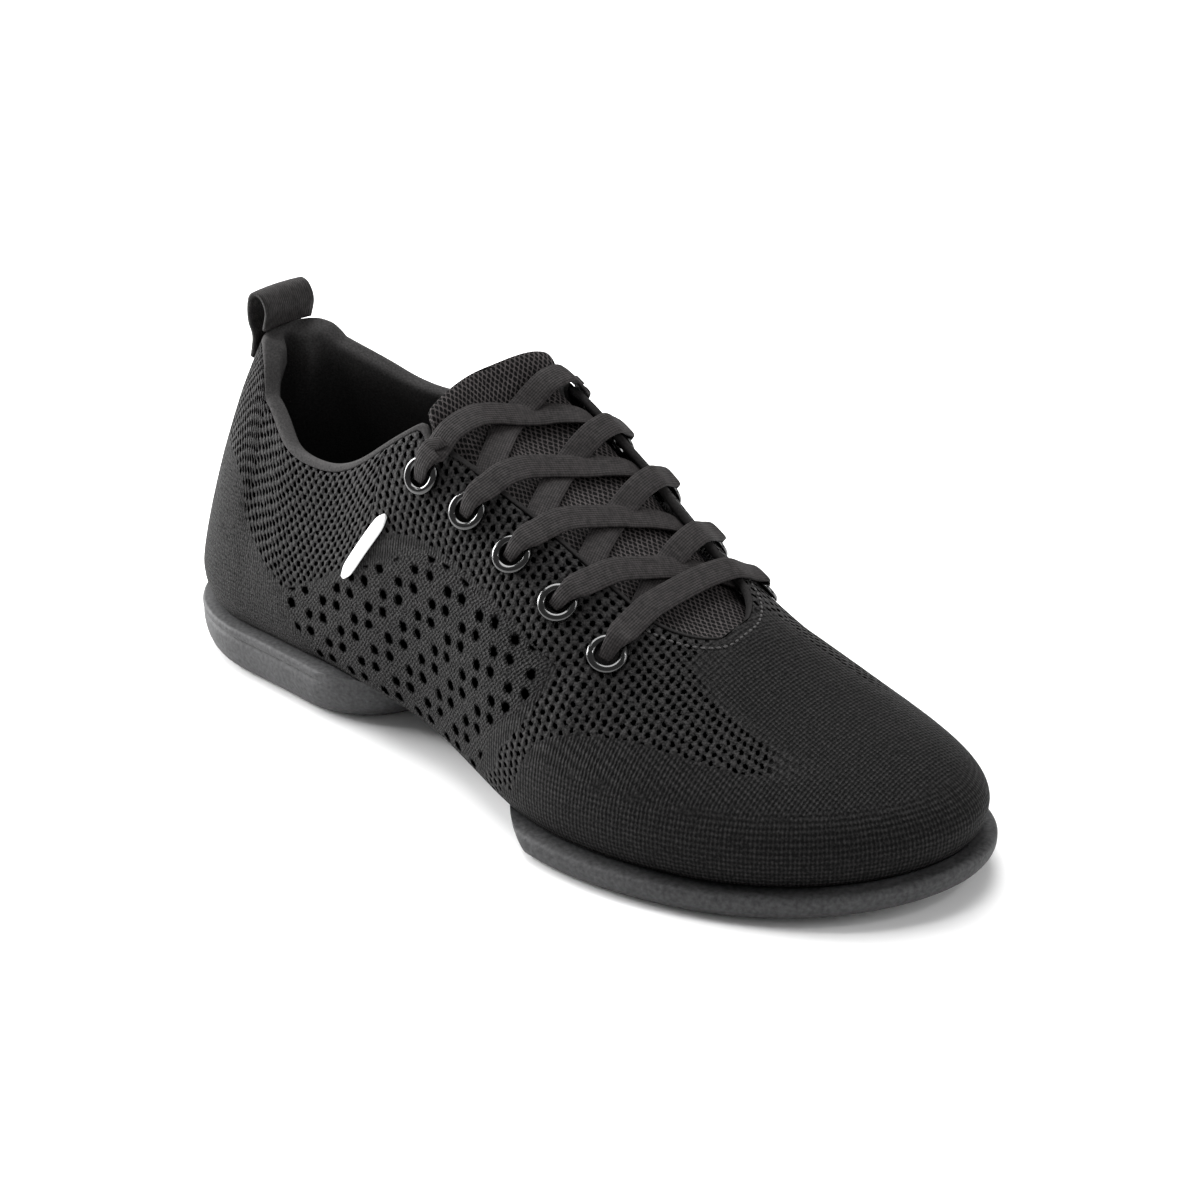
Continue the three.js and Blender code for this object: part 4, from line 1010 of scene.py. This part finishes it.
def edge_rise(hand, s):
    top = edge_girth(hand, s)
    return unit(skin(hand, s, top) - skin(hand, s, top - 0.02))


def over_edge(hand, s, up, lift):
    """Points at a way past the opening's edge along the rib, and a lift from it."""
    return skin_at(hand, s, edge_girth(hand, s), lift) + edge_rise(hand, s) * up


LINING_END = 0.3943
BEAD = 2.6
PAD_THICK, PAD_THIN = 4.6, 0.9
PAD_ROWS = np.array([(-1, 1), (0, 1), (0.2, 0.35), (0.29, 0)])
# Lobes beside the heel and the valley between them: change of thickness, middle and reach in stations
LOBES = ((0.75, -0.55, 0.36), (-0.7, -1, 0.13))


def collar_lining(brushed):
    """Padded lining: two lobes either side of a valley at the back of the heel, rolled over the knit's edge."""
    s = np.append(np.linspace(-1, 0, 40, endpoint=False), np.linspace(0, LINING_END, 60))
    full = mix(PAD_THIN, PAD_THICK, column(PAD_ROWS, ("station", "pad"), "pad", s))
    for change, middle, reach in LOBES:
        full = full * (1 + change * np.exp(-(((s - middle) / reach) ** 2)))
    face = WALL + AIR
    # The roll over the knit's edge: way past the edge and lift from the last
    rolled = (
        (AIR, -face), (AIR, 0), (BEAD * 0.7, -0.1), (BEAD, -0.9), (BEAD, -WALL), (BEAD * 0.6, -face - full * 0.55),
    )
    sides = []
    for hand in HANDS[::-1]:
        share = np.linspace(0, 1, 34)
        g = mix(5 / 3, edge_girth(hand, s)[:, None], share)
        outer = skin_at(hand, s[:, None], g, -face)
        puff = np.sin(math.pi * mix(0.06, 0.74, share)) ** 0.8
        inner = skin_at(hand, s[:, None], g, -face - mix(PAD_THIN, full[:, None], puff))
        rim = np.stack([over_edge(hand, s, up, lift) for up, lift in rolled], 1)
        knots = np.append(rim[:, 1:], inner[:, -2:-3:-1], 1)
        roll = np.stack([spline(k, 19) for k in knots])
        sides.append(np.concatenate([outer, rim[:, :1], roll, inner[:, -3::-1]], 1))
    pad = tube("collar_pad", np.concatenate([sides[0][::-1], sides[1][1:]]))
    finished(pad, "collar_lining", finish=brushed, slot="lining")


# Tape round the slot's edge: its first station, angle round the front and last station, then its section as
# ways past the edge and lifts from the last
TAPE_START, TAPE_TURN, TAPE_END = LINING_END + 0.0016, 1.29, THROAT_FRONT - 0.0035
TAPE_SECTION = ((0.42, -2), (0.42, 0), (0.9, 0.1), (1.62, -0.4), (1.8, -1.6), (1.08, -2.2))


def slot_binding(tape):
    s = np.append(slot_stations(TAPE_START, 60, TAPE_TURN, 30), TAPE_END)
    sides = [
        np.stack([spline(k, 16) for k in np.stack([over_edge(hand, s, *spot) for spot in TAPE_SECTION], 1)])
        for hand in HANDS[::-1]
    ]
    loops = np.concatenate([sides[0], sides[1][::-1]])
    finished(tube("binding_tape", loops), "slot_binding", finish=tape, slot="binding")


STITCH_FROM = 0.725
STITCH_IN = 2.6
STITCH_STEP = 2.1
STITCH_SIZE = (1.5, 0.7, 0.56)  # long, wide and high
STITCH_SEAT = 0.12  # middle of a stitch above the knit


def slot_stitches(thread):
    """Machine stitches in the knit round the front of the slot, one stitch modelled and copied."""
    s = slot_stations(STITCH_FROM, 20, 1.5, 30)
    edge, up = [], []
    for hand, way in (("lateral", 1), ("medial", -1)):
        g = edge_girth(hand, s)
        edge.append(skin(hand, s, g)[::way])
        up.append(normals(hand, s, g)[::way])
    edge, up = np.concatenate(edge), np.concatenate(up)
    out = unit(np.cross(unit(np.gradient(edge, axis=0)), up))
    out *= np.sign(((edge - edge.mean(0)) * out).sum(-1))[:, None]
    path = edge + out * STITCH_IN + up * STITCH_SEAT
    run = arc(path[None])[0]
    at = np.arange(1, run[-1] - 1, STITCH_STEP)
    path, up = (np.stack([np.interp(at, run, line[:, i]) for i in range(3)], -1) for line in (path, up))
    bpy.ops.mesh.primitive_uv_sphere_add(segments=8, ring_count=6, radius=0.5)
    first = bpy.context.object
    ball = np.array([v.co[:] for v in first.data.vertices]) * STITCH_SIZE
    stitches = []
    for p, n, a in zip(path, unit(up), unit(np.gradient(path, axis=0))):
        stitch = copied(first)
        stitch.data.vertices.foreach_set("co", placed(p + ball @ np.stack([a, np.cross(n, a), n])).ravel())
        stitches.append(stitch)
    removed(first)
    seam = joined(stitches, "slot_stitches")
    alone(seam)
    bpy.ops.object.shade_smooth()
    finished(seam, finish=thread, slot="binding")


TONGUE_TOP = 0.357
TONGUE_END = 0.87
TONGUE_HALF_TOP = 33
TONGUE_HALF_END = 20
TONGUE_THICK, TONGUE_END_THICK = 6, 2.4
STAND_END = 0.41  # station to which the tongue stands out of the slot
STAND_MIDDLE, STAND_SIDE = 1, 8.5  # lift at its middle and 26 mm away from it


def tongue(net):
    """Padded tongue of spacer mesh that follows the last under the slot and stands out at its top."""
    s = mix(TONGUE_TOP, TONGUE_END, np.linspace(0, 1, 90) ** 1.4)
    along = (s - TONGUE_TOP) / (TONGUE_END - TONGUE_TOP)
    tip = round_end((s - TONGUE_TOP) / 0.06 + 0.12)
    half = mix(TONGUE_HALF_TOP, TONGUE_HALF_END, along) * mix(0.88, 1, tip)
    thick = (mix(TONGUE_THICK, TONGUE_END_THICK, ease(clamp(along * 3))) * mix(0.5, 1, tip))[:, None]
    share = np.linspace(0, 1, 29)[None]
    puff = np.sqrt(np.sin(math.pi * mix(0.06, 0.5, share)))
    ss = s[:, None]
    faces = []
    for hand in HANDS[::-1]:
        core_y = rib(hand, ss)[1][..., 1]
        g = mix(girth_at_width(hand, s, half)[:, None], 3, share)
        away = np.abs(skin(hand, ss, g)[..., 1] - core_y)
        opening = np.abs(skin(hand, ss, edge_girth(hand, ss))[..., 1] - core_y)
        stand = eased(ss, STAND_END, TONGUE_TOP) * mix(STAND_MIDDLE, STAND_SIDE, (away / 26) ** 2)
        raised = stand * ease(clamp((opening - 0.8 - away) / 3.5)) - TONGUE_DROP + sag_at(ss, away, hand)
        faces.append([skin_at(hand, ss, g, raised - thick * deep) for deep in (0.5 * (1 - puff), mix(0.5, 1, puff))])
    top, low = (np.append(inner, outer[:, -2::-1], 1) for inner, outer in zip(*faces))
    across = arc(top)
    across = across - across[:, 28:29]
    u = np.concatenate([across, across[:, ::-1], across[:, :1]], 1)
    pad = tube("tongue_pad", np.append(top, low[:, ::-1], 1), u, arc(top[:, 28][None])[0][:, None])
    finished(pad, "tongue", finish=net, slot="mesh")


INSOLE_THICK = 3
INSOLE_GAP = 3.2  # between its edge and the lower edge of the last


def insole(felt):
    s = fine_stations()

    def rows_of(hand):
        rim, core = rib(hand, s)
        inward = core - rim
        edge = rim + inward * np.minimum(1, (TUCK + INSOLE_GAP) / size_of(inward))[:, None]
        shares = np.append(np.linspace(0, 0.96, 12), 1)
        flat = core[:, None] + (edge - core)[:, None] * shares[None, :, None]
        low = at_height(flat, under_z(flat[..., 0]) + WALL + AIR)
        high = low + (0, 0, INSOLE_THICK)
        high[:, -1, 2] -= 0.5
        return np.append(low, high[:, ::-1], 1)

    finished(both_sides("footbed", rows_of), "insole", finish=felt, slot="insole")


LOOP_WIDTH = 17.5
LOOP_THICK = 1.2
# Ways forward of and above the collar's edge
LOOP_ROWS = ((-2.2, 5), (-2, 9.2), (-0.9, 12.4), (1.3, 13.8), (4.1, 12.9), (5.6, 9))


def pull_loop(twill):
    s = np.array([-1.0])
    top_g = edge_girth("lateral", s)
    top = skin("lateral", s, top_g)[0]
    rise = edge_rise("lateral", s)[0]
    sewn = girth_at_height("lateral", s, top[2] - 6)
    path = [skin_at("lateral", s, sewn, -0.3)[0], skin_at("lateral", s, top_g, 1.5 * AIR + 0.6)[0]]
    path += [(top[0] + forward, 0, top[2] + up) for forward, up in LOOP_ROWS]
    path.append(skin_at("lateral", s, top_g, -WALL)[0] + rise * (BEAD + 2.1))
    at = spline(path, 91)
    along = unit(np.gradient(at, axis=0))
    out = np.stack([-along[:, 2], 0 * along[:, 0], along[:, 0]], -1)
    y = np.linspace(-0.5, 0.5, 13) * LOOP_WIDTH
    # The band bends a little round the heel
    row = np.stack([y**2 / 80, y, 0 * y], -1) + at[:, None] * (1, 0, 1)
    faces = [row + out[:, None] * side * LOOP_THICK / 2 for side in (1, -1)]
    loops = np.append(faces[0], faces[1][:, ::-1], 1)
    strap = tube("heel_tab", loops, arc(at[None])[0][:, None], np.concatenate([y, y[::-1], y[:1]]))
    finished(strap, "pull_loop", finish=twill, slot="webbing")


# Middle line of the bar, from its low end to its high one: stations and millimetres above the floor
BAR_FROM, BAR_TO = (0.25, 48), (0.333, 70)
PRINT_WIDTH = 4


def side_bar(film):
    places = []
    for t in np.linspace(0, 1, 11):
        s = mix(BAR_FROM[0], BAR_TO[0], t)
        g = girth_at_height("lateral", np.array([s]), mix(BAR_FROM[1], BAR_TO[1], t))[0]
        width = PRINT_WIDTH * math.sqrt(max(0.12, 1 - (2 * t - 1) ** 6))
        places.append((*lifted("lateral", s, g, AIR + 0.4), width))
    finished(ribbon("print_bar", places, 0.8), "side_bar", finish=film, slot="white_print")


# Soles

HEEL_FLARE = 2
FORE_FLARE = 2.6
SOLE_ROUND = 3.6
SOLE_ROWS = np.array([(0, 0.26), (0.3, 0.22), (0.45, 0.2), (0.6, 0.32), (0.75, 0.14), (1, 0.14)])
# Side of the sole: share of its height, and share of the round at the floor at the heel and under the ball
SOLE_SIDE = (
    (0, 1.25, 1.15), (0.02, 1, 0.92), (0.06, 0.8, 0.7), (0.12, 0.58, 0.48), (0.2, 0.38, 0.32), (0.3, 0.22, 0.19),
    (0.4, 0.11, 0.1), (0.5, 0.04, 0.04), (0.6, 0, 0.01), (0.68, 0, 0), (0.735, 0.03, 0), (0.765, 0.12, 0),
    (0.785, 0.22, 0.01), (0.8, 0.25, 0.01), (0.815, 0.21, 0.01), (0.83, 0.1, 0.01), (0.85, 0.02, 0.02),
    (0.88, 0, 0.04), (0.93, 0, 0.1), (0.965, 0.05, 0.19), (0.99, 0.14, 0.32), (1, 0.26, 0.5),
)
# Side of a pad's end under the arch: share of its height, and how far it draws in, in rounds of the sole
PAD_SIDE = (
    (-1, 1.9), (0, 1.9), (0.03, 1.5), (0.08, 1.15), (0.16, 0.8), (0.26, 0.5), (0.4, 0.24), (0.55, 0.08), (0.7, 0),
    (20, 0),
)


def sole_edge(hand, s):
    """Core of the last, its way outwards and the sole's widest line."""
    rim, core = rib(hand, s)
    out = unit(rim - core)
    return core, out, rim, rim + out * mix(HEEL_FLARE, FORE_FLARE, eased(rim[:, 0] / LENGTH, 0.3, 0.6))[:, None]


def sole_rows(hand):
    core, out, rim, widest = sole_edge(hand, fine_stations())
    share = rim[:, 0] / LENGTH
    top = under_z(rim[:, 0]) + column(SOLE_ROWS, ("at", "rim"), "rim", share) * height("rise", rim[:, 0])
    fore = eased(share, 0.3, 0.45)
    rows = [at_height(core, spring_z(core[:, 0]))]
    for up, heel_inset, fore_inset in SOLE_SIDE:
        inset = mix(heel_inset, fore_inset, fore)[:, None] * SOLE_ROUND
        rows.append(at_height(widest - out * inset, mix(spring_z(rim[:, 0]), top, up)))
    return np.stack([*rows, at_height(core, under_z(core[:, 0]) + 2)], 1)


def last_rows(hand):
    girths = np.concatenate([np.linspace(0, 0.9, 10), np.linspace(1, 2, 13), np.linspace(2.1, 3, 12)])
    return skin_at(hand, fine_stations()[:, None], girths, AIR)


def pad_region(name, start, end, corner, half, tall):
    """Cutting form of a pad: a tall block with round corners, whose end under the arch curves in at the floor."""
    a = np.linspace(math.pi / 2, 0, 18)
    is_heel = start <= 0
    loops = []
    for up, inset in PAD_SIDE:
        drawn = inset * SOLE_ROUND
        x0, x1 = start + drawn * (not is_heel), end - drawn * is_heel
        outline = []
        for hand in HANDS[::-1]:
            far_x = x1 - corner * (1 - np.cos(a))
            far_y = half - corner * (1 - np.sin(a))
            if is_heel:
                _, _, _, widest = sole_edge(hand, np.linspace(0, 0.9, 160))
                far_y = np.abs(np.interp(far_x, widest[:, 0], widest[:, 1])) + 0.4 - 0.66 * drawn
                far_y = far_y * np.sin(a) ** 0.65
            x = np.append(x0 + corner * (1 - np.sin(a)), far_x)
            y = np.append(half - corner * (1 - np.cos(a)), far_y) * SIDE[hand]
            outline.append(np.stack([x, y, np.full(x.shape, up * tall)], -1))
        loops.append(np.append(outline[0], outline[1][::-1], 0))
    return tube(name, np.array(loops))


def soles(rubber):
    block, last = both_sides("sole_block", sole_rows), both_sides("last_block", last_rows)
    for name, node, region in (
        ("heel_rubber", "heel_sole", ("heel_cut", -20, 0.366 * LENGTH, 31, HEEL_WIDTH / 2 + 3, 15)),
        ("forefoot_rubber", "forefoot_sole", ("fore_cut", 0.548 * LENGTH, LENGTH + 20, 38, BALL_WIDTH / 2 + 8, 10)),
    ):
        cut = pad_region(*region)
        pad = copied(block)
        pad.name = pad.data.name = name
        modified(pad, "BOOLEAN", operation="INTERSECT", object=cut, solver="EXACT")
        modified(pad, "BOOLEAN", operation="DIFFERENCE", object=last, solver="EXACT")
        welded(pad, 0.01)
        alone(pad)
        bpy.ops.object.shade_smooth_by_angle(angle=math.radians(38))
        finished(pad, node, finish=rubber, slot="rubber")
        removed(cut)
    removed(block, last)


# Stage, in metres

LIT_SPOT = (0.09, 0, 0.04)
ROOM_LIGHT = 0.3
# Lamps: place, size and power in watts
LAMPS = {
    "overhead_softbox": ((-0.35, 0.3, 1.2), 1.2, 30),
    "left_softbox": ((-1.0, -0.3, 0.4), 0.6, 26),
    "right_softbox": ((1.1, 0.55, 0.5), 0.5, 4),
    "small_left_lamp": ((-0.7, -0.6, 0.9), 0.12, 1.6),
    "small_right_lamp": ((0.85, 0.3, 0.9), 0.12, 1.6),
}
# The photo's camera: the point that it looks at, its angles and distance, its lens and the shift of its frame
AIM = Vector((0.1004, 0.0502, 0.03))
AZIMUTH, ELEVATION, DISTANCE = math.radians(40), math.radians(27), 0.6632
FOCAL_LENGTH, SENSOR = 69, 36
FRAME_SHIFT = (-0.077, -0.012)


def put(name, data):
    obj = bpy.data.objects.new(name, data)
    bpy.context.collection.objects.link(obj)
    return obj


def studio():
    bpy.ops.mesh.primitive_plane_add(size=6, location=(0.1, 0, 0))
    floor = bpy.context.object
    floor.name = "pale_floor"
    # Matt white paper: no gloss, so that only the shoe's soft shadow shows on it
    paper, _ = material("white_paper_sweep", 0.9, "#f7f7f7", Specular_IOR_Level=0.1)
    floor.data.materials.append(paper)
    world = bpy.data.worlds.new("white_room")
    bpy.context.scene.world = world
    world.use_nodes = True
    air = world.node_tree.nodes["Background"].inputs
    air["Color"].default_value, air["Strength"].default_value = (1, 1, 1, 1), ROOM_LIGHT
    for name, (spot, size, power) in LAMPS.items():
        light = bpy.data.lights.new(name, "AREA")
        light.size, light.energy = size, power
        lamp = put(name, light)
        lamp.location = spot
        lamp.rotation_euler = (Vector(spot) - Vector(LIT_SPOT)).to_track_quat("Z", "Y").to_euler()
    flat = math.cos(ELEVATION)
    back = Vector((math.sin(AZIMUTH) * flat, -math.cos(AZIMUTH) * flat, math.sin(ELEVATION)))
    lens = bpy.data.cameras.new("camera")
    lens.lens, lens.sensor_width = FOCAL_LENGTH, SENSOR
    lens.shift_x, lens.shift_y = FRAME_SHIFT
    camera = put("camera", lens)
    camera.location = AIM + back * DISTANCE
    camera.rotation_euler = back.to_track_quat("Z", "Y").to_euler()
    bpy.context.scene.view_settings.view_transform = "Standard"
    bpy.context.scene.camera = camera


lining_cloth = cloth("brushed_lining_cloth", "#3c3b3b")
knit_upper(knit_yarn())
soles(moulded_rubber())
collar_lining(lining_cloth)
slot_binding(cloth("binding_tape_cloth", "#232222"))
slot_stitches(cloth("sewing_thread", "#4d4c4c"))
tongue(tongue_net())
insole(cloth("footbed_cloth", "#2a2929"))
eyelet_rings(black_enamel())
# Laces and webbing: the first tone is painted shade for the grooves, the second a painted highlight for the crests
laces(woven_lace("flat_woven_lace", "#080707", "#353232", 0.9))
pull_loop(woven_lace("twill_webbing", "#121111", "#393737", 0.9, twill=1.0))
side_bar(white_print())
studio()
